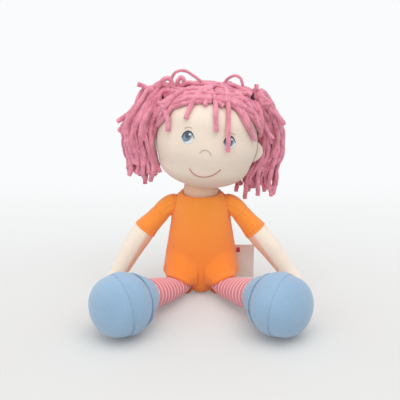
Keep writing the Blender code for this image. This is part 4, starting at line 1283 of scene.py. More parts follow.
def make_neck(context):
    """The neck with its faint creases, and the fold of cloth under the chin."""
    radius, bottom = 16.2 * MM, NECKLINE - 6.5 * MM
    top = NECK_PIVOT.z
    profile = [(0, bottom), (radius * 0.96, bottom), (radius, bottom + 1 * MM)]
    steps = 34
    for k in range(1, steps + 1):
        level = bottom + 1 * MM + (top - bottom - 1 * MM) * k / steps
        profile.append((radius, level))
    for k in range(1, 25):
        turn = math.pi / 2 * k / 24
        profile.append((radius * math.cos(turn), top + radius * math.sin(turn)))
    profile[-1] = (0, top + radius)
    neck = place_in("neck_tube", turned("neck_tube", profile, Matrix.Identity(4), 96))
    shaped(neck, lambda point: 0.12 * MM * bump_noise(Vector((point.x * 0.4, point.y * 0.4, point.z * 2)), 5 * MM)
           - sum(0.45 * MM * math.exp(-((point.z - level * MM - 0.5 * MM * math.sin(point.x * 90)) / (0.4 * MM)) ** 2)
                 for level in (96.6, 98.6, 100.6)) - 0.1 * MM)
    finish(neck, "neck_cloth", "neck", replaces=("neck",))
    up = HEAD_FRAME.to_3x3() @ Vector((0, 0, 1))
    fold = make_web("chin_fold", NECK_PIVOT, up, 16.45 * MM, 18.1 * MM, 64, "neck_cloth", "neck_web")
    return fold


HEAD_RISE = 49 * MM
HEAD_HALF = Vector((45.4 * MM, 42.0 * MM, 43.7 * MM))


def head_stations():
    centre, up = Vector((0, 0, HEAD_RISE)), Vector((0, 0, HEAD_HALF.z))
    stations = [(centre - up, 0, 0)]
    for level, width in ((-0.50, 0.915), (-0.12, 1.015), (0.35, 0.955)):
        stations.append((centre + up * level, HEAD_HALF.x * width, HEAD_HALF.y * width))
    return stations + [(centre + up, 0, 0)]


def make_head(context):
    """The head, with a seam from ear to ear, and its flat ears."""
    form = stuffed("head_bag", head_stations(), 96, 2.6 * MM)
    form.transform(HEAD_FRAME)
    inverse = HEAD_FRAME.inverted()
    pinned = lambda point: (inverse @ point).z < 8 * MM
    head = bag("head_bag", form, pinned, 0.5 * MM, 0.7 * MM, 1)
    carved(head, [ball("chin_room", NECK_PIVOT, 18.6 * MM)])

    def head_folds(point):
        local = inverse @ point
        turn = math.atan2(local.y, local.x)
        near_neck = max(0.0, local.z - 6 * MM)
        seam = 0.25 * MM * math.exp(-((local.y - 4 * MM) / (0.7 * MM)) ** 2)
        return tucks(turn, near_neck, 22, 0.16 * MM, 2.2 * MM, 2.0) - seam + 0.1 * MM * bump_noise(point, 22 * MM)

    shaped(head, head_folds)
    creased(head)
    finish(head, "skin_cloth", "head", replaces=("head", "head_stuffing"))
    tree = surface_of(head)
    for label, side in SIDES.items():
        make_ear(label, side, tree)
    return head


def make_ear(label, side, tree):
    """A flat stuffed ear with a dimple and a seam at its root."""
    name = f"ear_flap_{label}"
    bm = bmesh.new()
    bmesh.ops.create_uvsphere(bm, u_segments=40, v_segments=28, radius=1.0)
    size = Vector((15.0 * MM, 2.5 * MM, 11.6 * MM))
    middle = Vector((side * 35.9 * MM, -4.0 * MM, 42.4 * MM))
    for vertex in bm.verts:
        point = vertex.co.copy()
        hollow = 0.55 * math.exp(-((point.x * side - 0.62) ** 2 + (point.z - 0.05) ** 2) / 0.07)
        depth = point.y * (1 - hollow)
        lobe = 1 - 0.10 * max(0.0, -point.z) ** 2
        vertex.co = middle + Vector((point.x * size.x * lobe, depth * size.y, point.z * size.z))
    mesh = mesh_from(bm, name)
    mesh.transform(HEAD_FRAME)
    ear = place_in(name, mesh)
    inside = ball_like_head(-0.2 * MM)
    carved(ear, [inside])
    finish(ear, "skin_cloth", "head", replaces=(f"ear_{label}",))


def ball_like_head(growth):
    """The head's form, grown a little, as a shape to cut with."""
    stations = [
        (centre, width + growth if width else 0, depth + growth if depth else 0)
        for centre, width, depth in head_stations()
    ]
    mesh = stuffed("inside_head", stations, 64, 4 * MM)
    mesh.transform(HEAD_FRAME)
    return mesh


FACE = {
    "eye_right": (187.5, 137.5),
    "eye_left": (229.6, 142.6),
    "brow_right": ((185.2, 128.0), (188.2, 127.0), (191.4, 127.9)),
    "brow_left": ((226.6, 135.2), (230.4, 132.8), (234.8, 134.6)),
    "nose": ((200.2, 152.5), (202.6, 150.6), (205.6, 150.2), (208.5, 151.4), (210.9, 154.6)),
    "mouth": ((189.9, 169.2), (192.6, 173.0), (197.4, 175.9), (204.4, 177.0), (211.6, 175.6), (216.6, 172.9),
              (220.0, 170.2)),
}
LID = ((-1.02, -0.16), (-0.92, 0.24), (-0.70, 0.62), (-0.36, 0.88), (0.04, 0.98), (0.44, 0.88), (0.76, 0.60),
       (0.98, 0.24), (1.16, 0.02))


def make_face(context):
    """Eyes in satin stitch, and brows, a nose and a smile in stem stitch."""
    face = context.scene.doll_face
    tree = surface_of(bpy.data.objects["head_bag"])
    turn = HEAD_FRAME.to_3x3()
    for label in SIDES:
        across, down = FACE[f"eye_{label}"]
        middle = seen_on(tree, across, down, 0)
        make_eye(label, middle, tree, face, turn)
        path = [seen_on(tree, *spot, 0.1 * MM) for spot in smooth_path([Vector(spot) for spot in FACE[f"brow_{label}"]])]
        brow = stitches(f"brow_{label}", [path], "brow_thread", 0.9 * MM, 0.36 * MM, 1.7, 0.25)
        finish(brow, "brow_thread", "head")
    for name, material, size, node_name in (
        ("nose", "nose_thread", 0.28, "nose_stitch"),
        ("mouth", "face_thread", 0.52, "mouth_stitch"),
    ):
        spots = smooth_path([Vector(spot) for spot in FACE[name]], 8)
        path = [seen_on(tree, *spot, 0.18 * MM) for spot in spots]
        line = stitches(f"{name}_line", [path], material, 1.2 * MM, size * MM, 1.9, 0.22)
        finish(line, material, "head", replaces=(node_name,))


def make_eye(label, middle, tree, face, turn):
    """A domed disc of satin stitch with its own plane for the iris, and a raised upper lid."""
    name = f"eye_patch_{label}"
    right, up = turn @ Vector((1, 0, 0)), turn @ Vector((0, 0, 1))
    radius, rings, sides = face.eye_radius, 12, 48
    bm = bmesh.new()
    plane = bm.loops.layers.uv.new("stitch_plane")
    spots = {}

    def spot(share, angle, lift):
        flat = middle + (right * math.cos(angle) + up * math.sin(angle)) * radius * share
        vertex = bm.verts.new(on_surface(tree, flat, lift))
        spots[vertex] = (0.5 + share * math.cos(angle) / 2, 0.5 + share * math.sin(angle) / 2)
        return vertex

    top = spot(0, 0, 0.62 * MM)
    loops = []
    for ring in range(1, rings + 1):
        share = ring / rings
        lift = 0.62 * MM * math.sqrt(1 - (share * 0.96) ** 2)
        loops.append([spot(share, math.tau * k / sides, lift) for k in range(sides)])
    loops.append([spot(0.99, math.tau * k / sides, -0.2 * MM) for k in range(sides)])
    base = spot(0, 0, -0.2 * MM)
    for k in range(sides):
        following = (k + 1) % sides
        bm.faces.new((top, loops[0][k], loops[0][following]))
        bm.faces.new((base, loops[-1][following], loops[-1][k]))
        for first, second in zip(loops, loops[1:]):
            bm.faces.new((first[k], second[k], second[following], first[following]))
    for quad in bm.faces:
        for loop in quad.loops:
            loop[plane].uv = spots[loop.vert]
    eye = place_in(name, mesh_from(bm, name))
    finish(eye, "eye_thread", "head", replaces=(f"eye_{label}",))
    path = [on_surface(tree, middle + (right * x + up * y) * radius, 0.45 * MM) for x, y in LID]
    path = smooth_path(path, 5)
    lid = place_in(f"eye_lid_{label}", welt(f"eye_lid_{label}", path, lambda share: (0.22 + 0.36 * math.sin(math.pi * min(1, share + 0.06))) * MM,
                                             8, closed=False))
    finish(lid, "lash_thread", "head")


# Hair

HEAD_MIDDLE = Vector((0, 0, HEAD_RISE))


def hair_way(front_turn):
    """A direction in the head's middle plane: 0 is the face, 90 degrees the crown and 180 the back."""
    return Vector((0, -math.cos(front_turn), math.sin(front_turn)))


def combed(tree, start, end, lift, droop, steps=14, tie=None):
    """A strand that lies on the head from one direction to another, both in the head's frame."""
    inverse = HEAD_FRAME.inverted()
    path = []
    angle = start.angle(end)
    for step in range(steps + 1):
        share = step / steps
        way = (start * math.sin((1 - share) * angle) + end * math.sin(share * angle)) / math.sin(angle)
        way = (way + droop * math.sin(math.pi * share)).normalized()
        origin = HEAD_FRAME @ HEAD_MIDDLE
        outward = HEAD_FRAME.to_3x3() @ way
        hit, normal, _, _ = tree.ray_cast(origin + outward * 0.2, -outward)
        rise = lift + (9.0 * MM - lift) * share ** 3 if tie else lift
        path.append(hit + normal * rise)
    if tie:
        path[-1] = path[-1].lerp(tie, 0.6)
        path.append(tie)
    return path


def hairline():
    """Directions round the edge of the hair on the doll's left, from over the ear to the nape."""
    return (
        Vector((0.97, -0.02, 0.20)), Vector((0.98, 0.20, -0.10)), Vector((0.86, 0.46, -0.32)), Vector((0.62, 0.62, -0.52)),
        Vector((0.32, 0.70, -0.66)), Vector((0.05, 0.72, -0.70)),
    )


PARTING_TURNS = (58, 215)
SWEEPS = 17
FRINGE = (
    ((209, 93.0, 5.5), (203.5, 94.5, 6.0), (197.0, 100.8, 4.6), (190.8, 109.6, 2.8), (186.4, 119.6, 2.3)),
    ((203.5, 93.8, 5.0), (205.2, 98.0, 4.6), (205.4, 107.0, 2.5)),
    ((206.5, 93.4, 5.0), (211.5, 97.4, 5.2), (215.0, 105.5, 3.2), (215.4, 118.0, 2.4), (215.9, 131.8, 2.3)),
    ((210.0, 96.0, 3.6), (216.0, 102.8, 3.0), (222.8, 108.2, 2.4)),
    ((217.0, 91.0, 6.0), (223.2, 95.6, 7.0), (226.4, 106.0, 4.6), (227.2, 128.0, 2.6), (226.6, 151.4, 3.4)),
    ((152.0, 100.5, 8.0), (161.0, 103.6, 8.0), (168.2, 109.8, 6.0), (170.9, 120.0, 3.6), (169.6, 131.6, 2.4)),
    ((182.0, 100.5, 3.2), (169.5, 111.0, 2.6), (160.5, 120.5, 2.3), (157.0, 131.0, 2.3)),
    ((186.0, 96.5, 4.6), (174.6, 108.0, 3.4), (168.6, 116.0, 2.6), (160.0, 126.0, 2.4)),
    ((199.5, 96.4, 4.8), (186.0, 100.2, 5.0), (173.4, 106.4, 6.0), (166.0, 108.0, 7.6)),
)
TEMPLE = (
    ((214.0, 95.5, 4.6), (226.0, 101.5, 4.6), (237.4, 108.0, 3.4), (244.2, 118.5, 2.6), (247.0, 124.0, 2.4)),
    ((220.0, 99.0, 3.2), (230.6, 104.5, 3.0), (240.4, 115.0, 2.5), (247.4, 125.6, 2.3), (250.4, 132.4, 2.3)),
    ((218.0, 93.6, 6.4), (231.0, 98.0, 7.0), (244.3, 109.2, 6.0), (253.4, 124.4, 4.6), (256.6, 132.0, 4.2)),
    ((226.0, 93.4, 7.0), (238.0, 97.4, 8.4), (249.4, 108.2, 7.0), (255.4, 121.0, 5.6), (259.6, 136.6, 5.0)),
    ((224.4, 101.0, 3.4), (234.0, 108.4, 2.8), (243.0, 122.0, 2.4), (249.6, 134.0, 2.4), (252.6, 139.6, 2.4)),
    ((231.0, 94.0, 8.4), (246.0, 97.6, 9.0), (257.0, 109.4, 8.0), (266.7, 129.7, 6.0), (273.0, 138.6, 6.0)),
    ((222.0, 90.6, 8.0), (236.0, 90.2, 9.6), (249.6, 96.6, 9.0), (262.0, 106.8, 8.0)),
    ((233.0, 91.6, 9.0), (247.0, 93.6, 9.4), (260.0, 100.6, 9.0), (271.6, 103.6, 9.0)),
)
TOP_LOOPS = (
    ((170.6, 84.0, 9.0), (172.4, 76.4, 9.0), (176.4, 71.9, 9.0), (184.6, 70.6, 9.0), (194.6, 76.4, 8.0), (204.5, 83.6, 6.0),
     (212.0, 86.4, 5.0), (221.6, 87.2, 4.0)),
    ((216.0, 89.4, 4.0), (222.0, 85.2, 5.0), (228.4, 78.2, 7.0), (235.4, 75.6, 7.0), (240.8, 79.0, 7.0), (243.6, 88.6, 7.0)),
)
TUFTS = (
    ((177.5, 98.0), (173.4, 86.0), (169.0, 78.4), (162.6, 80.4), (156.6, 90.0), (152.6, 104.0), (150.4, 118.0)),
    ((174.0, 98.0), (167.6, 86.0), (160.8, 82.6), (152.6, 88.0), (146.0, 100.0), (142.6, 115.0)),
    ((176.0, 97.0), (170.0, 90.0), (163.6, 90.0), (158.4, 99.0), (156.4, 112.0), (154.6, 126.0)),
    ((175.4, 90.0), (178.0, 80.6), (181.6, 77.4), (184.0, 81.6), (180.6, 89.0)),
    ((172.4, 95.0), (178.6, 87.4), (188.0, 82.6), (196.6, 84.0), (203.0, 89.0)),
    ((196.0, 92.4), (188.4, 88.0), (180.4, 92.0), (173.6, 99.6)),
    ((200.0, 95.0), (190.4, 96.2), (181.0, 101.6), (172.6, 108.8), (166.0, 116.6)),
    ((204.0, 89.0), (214.0, 89.6), (224.6, 92.0), (236.0, 89.6), (247.6, 92.6)),
    ((206.0, 94.6), (218.0, 92.0), (231.0, 94.6), (243.0, 97.0), (256.0, 102.6), (270.6, 103.4)),
    ((209.0, 91.0), (220.0, 86.4), (231.6, 85.0), (241.0, 88.6), (251.0, 95.0)),
)
FLYAWAYS = {
    "right": (
        ((166.0, 90.0), (154.6, 87.4), (147.0, 88.2), (143.6, 86.0), (137.4, 84.0)),
        ((156.0, 90.6), (142.0, 99.0), (132.6, 109.6), (124.4, 116.6), (117.2, 121.8)),
        ((153.0, 95.0), (139.4, 105.0), (131.4, 114.4), (124.0, 123.4), (119.0, 131.6)),
    ),
    "left": (
        ((250.0, 96.0), (255.6, 90.6), (256.8, 84.2)),
        ((262.0, 100.0), (276.0, 114.0), (284.4, 124.6)),
        ((258.0, 96.0), (266.0, 100.0), (271.6, 102.8)),
    ),
}


def wandering(path, amount, size, seed):
    """Let a strand wander a little from its path, but not at its root."""
    count = len(path) - 1
    moved = []
    for k, point in enumerate(path):
        way = noise.noise_vector(point / size + Vector((seed, -seed, seed * 0.5)))
        moved.append(point + way * amount * min(1.0, 3 * k / count))
    return moved


def make_hair_cap(context):
    """Rows of chenille combed from the parting and the hairline up to the two ties."""
    hair = context.scene.doll_hair
    tree = surface_of(bpy.data.objects["head_bag"])
    inverse = HEAD_FRAME.inverted()
    draws = random.Random(7)
    thick = hair.strand_radius
    paths = []
    for label, side in SIDES.items():
        tie = TIE[label]
        tie_way = (inverse @ tie - HEAD_MIDDLE).normalized()
        first, last = (math.radians(turn) for turn in PARTING_TURNS)
        count = 34
        for k in range(count):
            turn = first + (last - first) * (k + draws.uniform(-0.2, 0.2)) / (count - 1)
            start = hair_way(turn) + Vector((side * draws.uniform(-0.03, 0.05), 0, 0))
            forward = Vector((side * 0.10, -0.16 if turn < 1.4 else 0.05, 0.02))
            lift = thick * (1.1 + 1.5 * (k % 2)) + draws.uniform(0, 0.8) * MM
            paths.append(combed(tree, start.normalized(), tie_way, lift, forward * draws.uniform(0.3, 1.2), tie=tie))
        for k in range(SWEEPS):
            share = k / (SWEEPS - 1)
            start = Vector((side * draws.uniform(0.0, 0.12), -0.57 + 0.34 * share, 0.82 + 0.10 * share))
            end = Vector((side * 0.97, -0.16 + 0.20 * share + draws.uniform(-0.05, 0.05), 0.27 + 0.34 * share))
            bow = Vector((side * 0.04, -0.05 + 0.07 * share, 0.03)) * draws.uniform(0.2, 1.0)
            lift = thick * (1.0 + 0.9 * (k % 2)) + draws.uniform(0, 0.9) * MM
            path = combed(tree, start.normalized(), end.normalized(), lift, bow)
            paths.append(path[: len(path) - int(draws.uniform(0, 3))])
        edge = smooth_path([Vector((side * way.x, way.y, way.z)) for way in hairline()], 4)
        for k, way in enumerate(edge):
            lift = thick * (1.0 + 0.7 * (k % 2)) + draws.uniform(0, 0.5) * MM
            sag = Vector((side * 0.06, 0, -0.02))
            paths.append(combed(tree, way.normalized(), tie_way, lift, sag * draws.uniform(-0.5, 1.0), tie=tie))
    paths = [wandering(smooth_path(path, 2), 1.0 * MM, 14 * MM, order) for order, path in enumerate(paths)]
    for spots in FRINGE + TEMPLE:
        points = [seen_on(tree, across, down, lift * MM, -4 * MM) for across, down, lift in spots]
        paths.append(smooth_path(points, 6))
    for order, spots in enumerate(TUFTS):
        middle = (len(spots) - 1) / 2
        points = [
            seen_on(tree, across, down, (8.6 - 3.4 * abs(k - middle) / middle) * MM, -6 * MM)
            for k, (across, down) in enumerate(spots)
        ]
        paths.append(smooth_path(points, 6))
    cap = strands("hair_rows", paths, hair)
    finish(cap, "pink_yarn", "head", replaces=("hair_crown",))
    thin = [
        smooth_path([seen_on(tree, across, down, lift * MM, -4 * MM) for across, down, lift in spots], 6)
        for spots in TOP_LOOPS
    ]
    loops = strands("hair_loops", thin, hair, radius=hair.strand_radius * 0.66)
    finish(loops, "pink_yarn", "head")


BUNCH_LENGTH = {"right": 78 * MM, "left": 96 * MM}
BUNCH_CENTRES = {
    "right": ((0.18, 0.00, 0.08, 0.80), (0.30, -0.03, 0.34, 0.98), (0.31, -0.04, 0.58, 1.00), (0.27, -0.03, 0.80, 1.00)),
    "left": ((0.12, 0.05, 0.10, 0.78), (0.22, 0.13, 0.32, 0.90), (0.22, 0.18, 0.55, 1.00), (0.13, 0.20, 0.80, 1.20)),
}
BUNCH_HALF = 15.5 * MM
TIE_OFFSET = 4.6 * MM


def bunch_way(side):
    return Vector((side * 0.92, 0, -0.38)).normalized()


def bunch_paths(label, side, hair, draws):
    """Strands that leave the tie side by side, swell out and hang, each cut at its own length."""
    tie, way, total = TIE[label], bunch_way(side), BUNCH_LENGTH[label]
    across = way.cross(Vector((0, 1, 0))).normalized()
    paths = []
    spots = [(0.0, 0.0)]
    for ring in range(1, hair.bunch_rings + 1):
        count = 6 * ring
        shift = draws.uniform(0, math.tau)
        spots += [(ring / hair.bunch_rings, shift + math.tau * k / count) for k in range(count)]
    for share, turn in spots:
        share = min(1.0, share * draws.uniform(0.92, 1.06))
        out_x, out_y = share * math.cos(turn), share * math.sin(turn)
        root = tie - way * 5 * MM + (across * out_x + Vector((0, 1, 0)) * out_y) * 4.4 * MM
        waist = tie + way * TIE_OFFSET + (across * out_x + Vector((0, 1, 0)) * out_y) * 4.6 * MM
        points = [root, waist]
        if share > 0.6 and out_x > 0.1:
            points.append(tie + way * 11 * MM + Vector((side * out_x * 3 * MM, out_y * 8 * MM, (3 + 5 * out_x) * MM)))
        for outward, backward, down, swell in BUNCH_CENTRES[label]:
            centre = tie + Vector((side * outward * total, backward * total, -down * total))
            reach = (BUNCH_HALF * swell - hair.strand_radius)
            jitter = Vector((draws.uniform(-1, 1), draws.uniform(-1, 1), 0)) * 1.0 * MM
            points.append(centre + Vector((side * out_x * reach, out_y * reach * 0.92, 0)) + jitter)
        outward, backward, _, swell = BUNCH_CENTRES[label][-1]
        end = 0.97 + draws.uniform(-0.09, 0.07)
        flare = draws.uniform(0.85, 1.35)
        last = tie + Vector((side * outward * total, backward * total, -end * total))
        reach = (BUNCH_HALF * swell - hair.strand_radius) * flare
        points.append(last + Vector((side * out_x * reach, out_y * reach * 0.8, 0)))
        path = smooth_path(points, 8)
        keep = 1 - draws.uniform(0, 1) ** 1.7 * (0.38 if share > 0.5 else 0.12)
        paths.append(path[: round(len(path) * keep)])
    return paths


def make_bunches(context):
    hair = context.scene.doll_hair
    tree = surface_of(bpy.data.objects["head_bag"])
    for label, side in SIDES.items():
        draws = random.Random(21 if side > 0 else 5)
        paths = bunch_paths(label, side, hair, draws)
        clear = []
        for order, path in enumerate(paths):
            path = wandering(path, 3.2 * MM, 19 * MM, order * 1.3 + side)
            path = wandering(path, 0.9 * MM, 6 * MM, order * 0.7 - side)
            clear.append([off_head(tree, point, hair.strand_radius + 0.6 * MM) for point in path])
        for spots in FLYAWAYS[label]:
            points = [seen_on(tree, across, down, 9 * MM, -5 * MM) for across, down in spots]
            clear.append(smooth_path([TIE[label] + bunch_way(side) * 4 * MM] + points[1:], 6))
        made = strands(f"bunch_strands_{label}", clear, hair)
        finish(made, "pink_yarn", f"bunch_{label}", replaces=(f"hair_bunch_{label}",))
        make_tie(label, side)


def off_head(tree, point, clearance):
    """Keep a strand's middle outside the head."""
    place, normal, _, _ = tree.find_nearest(point)
    away = (point - place).dot(normal)
    return point if away > clearance else place + normal * clearance


def make_tie(label, side):
    """Three turns of dark elastic round the root of a bunch."""
    way = bunch_way(side)
    place = frame_at(TIE[label] + way * TIE_OFFSET, way)
    turns = [math.tau * 3 * k / 180 for k in range(181)]
    path = []
    for k, a in enumerate(turns):
        radius = (6.0 + 0.35 * math.sin(a * 0.9 + 1)) * MM
        height = (-1.5 + 3.0 * k / 180 + 0.3 * math.sin(a * 1.4)) * MM
        path.append(place @ Vector((radius * math.cos(a), radius * math.sin(a), height)))
    name = f"elastic_{label}"
    tie = place_in(name, welt(name, path, 1.0 * MM, 10, closed=False, wobble=0.3))
    finish(tie, "dark_elastic", f"bunch_{label}", replaces=(f"hair_tie_{label}",))


# Arms


ARM_TURNS = {"right": (43, 34), "left": (40, 40)}
PANEL_START = 1.4 * MM
PANEL_TAPER = 0.09


def panel_way(label, lower):
    """The direction that the inner panel of a forearm faces."""
    way = Vector((-SIDES[label], 0.18, 0))
    return (way - lower * way.dot(lower)).normalized()


def outward_way(side, turn):
    lean, turn = math.radians(10), math.radians(turn)
    return Vector((side * math.sin(turn), -math.cos(turn) * math.sin(lean), -math.cos(turn) * math.cos(lean)))


def arm_places(label, side):
    upper, lower = (outward_way(side, turn) for turn in ARM_TURNS[label])
    root = SHOULDER[label]
    hem = root + upper * 34 * MM
    wrist = hem + lower * 48 * MM
    return root, hem, wrist, wrist + lower * 21 * MM, upper, lower


def arm_stations(label, side):
    root, hem, wrist, tip, upper, lower = arm_places(label, side)
    bend = Vector((-side * 2.8 * MM, 0, 0))
    return [
        (root - upper * 7 * MM, 0, 0),
        (root, 7 * MM, 7 * MM),
        (root + upper * 7 * MM, 6.8 * MM, 6.8 * MM),
        (root + upper * 13 * MM, 9.0 * MM, 8.8 * MM),
        (root.lerp(hem, 0.7), 9.7 * MM, 9.4 * MM),
        (hem, 10.8 * MM, 10.3 * MM),
        (hem.lerp(wrist, 0.45), 10.3 * MM, 9.7 * MM),
        (wrist + bend * 0.8, 8.2 * MM, 7.7 * MM),
        (tip - lower * 8.2 * MM + bend, 7.8 * MM, 6.6 * MM),
        (tip + bend, 0, 0),
    ]


def make_arms(context):
    for label, side in SIDES.items():
        root, hem, wrist, tip, upper, lower = arm_places(label, side)
        body = f"arm_{label}"
        across_hem = (upper + lower).normalized()
        form = stuffed(f"arm_{label}_form", arm_stations(label, side), 44, 1.9 * MM)
        pinned = lambda point: (point - root).length < 8 * MM or abs((point - hem).dot(across_hem)) < 1.2 * MM
        whole = bag(f"arm_{label}_form", form, pinned, 0.4 * MM, 0.7 * MM, 1)

        def sleeve_folds(point):
            turn, run, _ = turn_round(point, hem, across_hem)
            move = tucks(turn, abs(run), 15, 0.45 * MM, 3.4 * MM, 4.0 + side)
            turn, run, _ = turn_round(point, root, upper)
            move += tucks(turn, max(0.0, run - 7 * MM), 9, 0.6 * MM, 4.4 * MM, 9.0 + side)
            return move + 0.25 * MM * bump_noise(point, 9 * MM, 2.0)

        def arm_folds(point):
            turn, run, _ = turn_round(point, hem, lower)
            move = tucks(turn, max(0.0, run), 13, 0.35 * MM, 3.0 * MM, 6.0 + side)
            return move + 0.2 * MM * bump_noise(point, 10 * MM, 5.0)

        sleeve = place_in(f"sleeve_cloth_{label}", whole.data.copy())
        shaped(sleeve, sleeve_folds)
        cut_at(sleeve, hem + across_hem * 0.5 * MM, across_hem)
        creased(sleeve)
        finish(sleeve, "orange_cloth", body, replaces=(f"sleeve_{label}",))
        forearm = place_in(f"forearm_bag_{label}", whole.data.copy())
        shaped(forearm, arm_folds)
        shaped(forearm, lambda point: -0.5 * MM * math.exp(-max(0.0, (point - hem).dot(across_hem)) / (3 * MM)))
        cut_at(forearm, hem - across_hem * 1.0 * MM, -across_hem)
        finish(forearm, f"arm_{label}", body, (f"forearm_{label}", f"arm_stuffing_{label}"))
        bpy.data.objects.remove(whole)
        tree = surface_of(sleeve)
        turns = [math.tau * k / 64 for k in range(64)]
        place = frame_at(hem - across_hem * 0.2 * MM, across_hem)
        ring = [place @ Vector((10.4 * MM * math.cos(a), 10.4 * MM * math.sin(a), 0)) for a in turns]
        ring = [on_surface(tree, point, -0.2 * MM) for point in ring]
        roll = place_in(f"sleeve_hem_{label}", welt(f"sleeve_hem_{label}", ring, 0.6 * MM, 10, wobble=0.5, seed=side))
        finish(roll, "orange_cloth", body)
        place = frame_at(hem - across_hem * 3.0 * MM, across_hem)
        row = [on_surface(tree, place @ Vector((12 * MM * math.cos(a), 12 * MM * math.sin(a), 0)), 0.02 * MM) for a in turns]
        seam = stitches(f"hem_stitches_{label}", [row], "orange_thread", 2.2 * MM, 0.18 * MM, 0.7, closed=True)
        finish(seam, "orange_thread", body)
        tree = surface_of(forearm)
        line = []
        panel = panel_way(label, lower)
        front = Vector((0, -1, 0))
        front = (front - lower * front.dot(lower) - panel * front.dot(panel)).normalized()
        for k in range(40):
            run = (2 + 58 * k / 39) * MM
            lean = math.acos(min(1.0, (PANEL_START - 0.45 * MM + PANEL_TAPER * run) / (9.8 * MM)))
            spot = hem + lower * run + (panel * math.cos(lean) + front * math.sin(lean)) * 14 * MM
            line.append(on_surface(tree, spot, 0.05 * MM))
        seam = stitches(f"arm_seam_{label}", [line], "skin_thread", 1.9 * MM, 0.2 * MM, 0.95)
        finish(seam, "skin_thread", body)


# Legs and shoes


def make_legs(context):
    for label, side in SIDES.items():
        root, end, way = HIP[label], ANKLE[label], LEG_WAY[label]
        total = (end - root).length
        stations = [(root - way * 13 * MM, 0, 0)]
        stations += [leg_form(label, row[0] * MM) for row in LEG_FORM[:-1]]
        stations += [(end, 14.6 * MM, 14.6 * MM), (end + way * 14.6 * MM, 0, 0)]
        name = f"leg_bag_{label}"
        form = stuffed(name, stations, 56, 2.2 * MM)
        pinned = lambda point: not 9 * MM < (point - root).dot(way) < total - 3 * MM
        leg = bag(name, form, pinned, 0.35 * MM, 0.6 * MM, 1)

        def leg_folds(point):
            turn, run, _ = turn_round(point, root, way)
            if run < 0 or run > total:
                return 0.0
            move = tucks(turn, total - run, 17, 0.28 * MM, 3.6 * MM, 3.0 + side)
            move += tucks(turn, max(0.0, run - 6 * MM), 12, 0.35 * MM, 4.0 * MM, 8.0 + side)
            return move + 0.22 * MM * bump_noise(point, 12 * MM, 6.0 + side)

        shaped(leg, leg_folds)
        finish(leg, f"knit_{label}", f"leg_{label}", (f"leg_{label}", f"leg_stuffing_{label}"))


COLLAR = 12.4 * MM
HOLLOW = 21.9 * MM


def collar_way(label, side):
    """The direction square to the opening of a shoe, a little more sideways than the leg."""
    return (LEG_WAY[label] + Vector((side * 0.16, 0.09, 0))).normalized()


def shoe_stations(label):
    """A ball that opens behind at its collar."""
    centre, way = SHOE_CENTRE[label], collar_way(label, SIDES[label])
    return [
        (centre - way * COLLAR, 0, 0),
        (centre - way * (COLLAR - 0.3 * MM), 23.4 * MM, 23.4 * MM),
        (centre - way * 6.4 * MM, 26.6 * MM, 26.6 * MM),
        (centre, 27.8 * MM, 27.8 * MM),
        (centre + way * 10.2 * MM, 26.0 * MM, 26.0 * MM),
        (centre + way * 27.8 * MM, 0, 0),
    ]


def toe_seam(label, side):
    """A place and a direction for the seam that runs slantwise over the ball."""
    across = Vector((side * 0.83, -0.555, -0.05)).normalized()
    return SHOE_CENTRE[label] + across * 4.5 * MM, across


def make_shoes(context):
    for label, side in SIDES.items():
        centre, way, body = SHOE_CENTRE[label], collar_way(label, side), f"foot_{label}"
        name = f"shoe_bag_{label}"
        form = stuffed(name, shoe_stations(label), 72, 2.6 * MM)

        seam_place, seam_way = toe_seam(label, side)

        def pinned(point):
            on_seam = abs((point - seam_place).dot(seam_way)) < 1.4 * MM
            return (point - centre).dot(way) < 1.6 * MM - COLLAR or on_seam or point.z < 1.0 * MM

        shoe = bag(name, form, pinned, 0.7 * MM, 1.1 * MM, 2)

        def shoe_folds(point):
            turn, run, _ = turn_round(point, seam_place, seam_way)
            groove = 0.8 * MM * math.exp(-(run / (0.6 * MM)) ** 2)
            move = tucks(turn, abs(run), 30, 0.13 * MM, 2.0 * MM, 5.0 + side)
            turn, run, _ = turn_round(point, centre, way)
            move += tucks(turn, abs(run + COLLAR), 21, 0.22 * MM, 2.2 * MM, 1.0 + side)
            return move - groove + 0.2 * MM * bump_noise(point, 19 * MM, 3.0 + side)

        shaped(shoe, shoe_folds)
        rested(shoe)
        hollow = [(0, -30 * MM), (HOLLOW, -30 * MM), (HOLLOW, -COLLAR), (21.2 * MM, -7.6 * MM), (0, -7.2 * MM)]
        carved(shoe, [turned(f"collar_room_{label}", hollow, frame_at(centre, way), 96)])
        creased(shoe, 60)
        replaced = (f"shoe_upper_{label}", f"shoe_toe_{label}", f"shoe_stuffing_{label}")
        finish(shoe, "blue_cloth", body, replaces=replaced)
        tree = surface_of(shoe)
        turns = [math.tau * k / 96 for k in range(96)]
        place = frame_at(seam_place, seam_way)
        row = [on_surface(tree, place @ Vector((30 * MM * math.cos(a), 30 * MM * math.sin(a), 0)), -0.1 * MM) for a in turns]
        seam = stitches(f"toe_stitches_{label}", [row], "blue_thread", 1.9 * MM, 0.2 * MM, 0.9, closed=True)
        finish(seam, "blue_thread", body)
        make_collar(label, side, centre, way, body, turns)
        make_heel(label, side, centre, LEG_WAY[label], body)


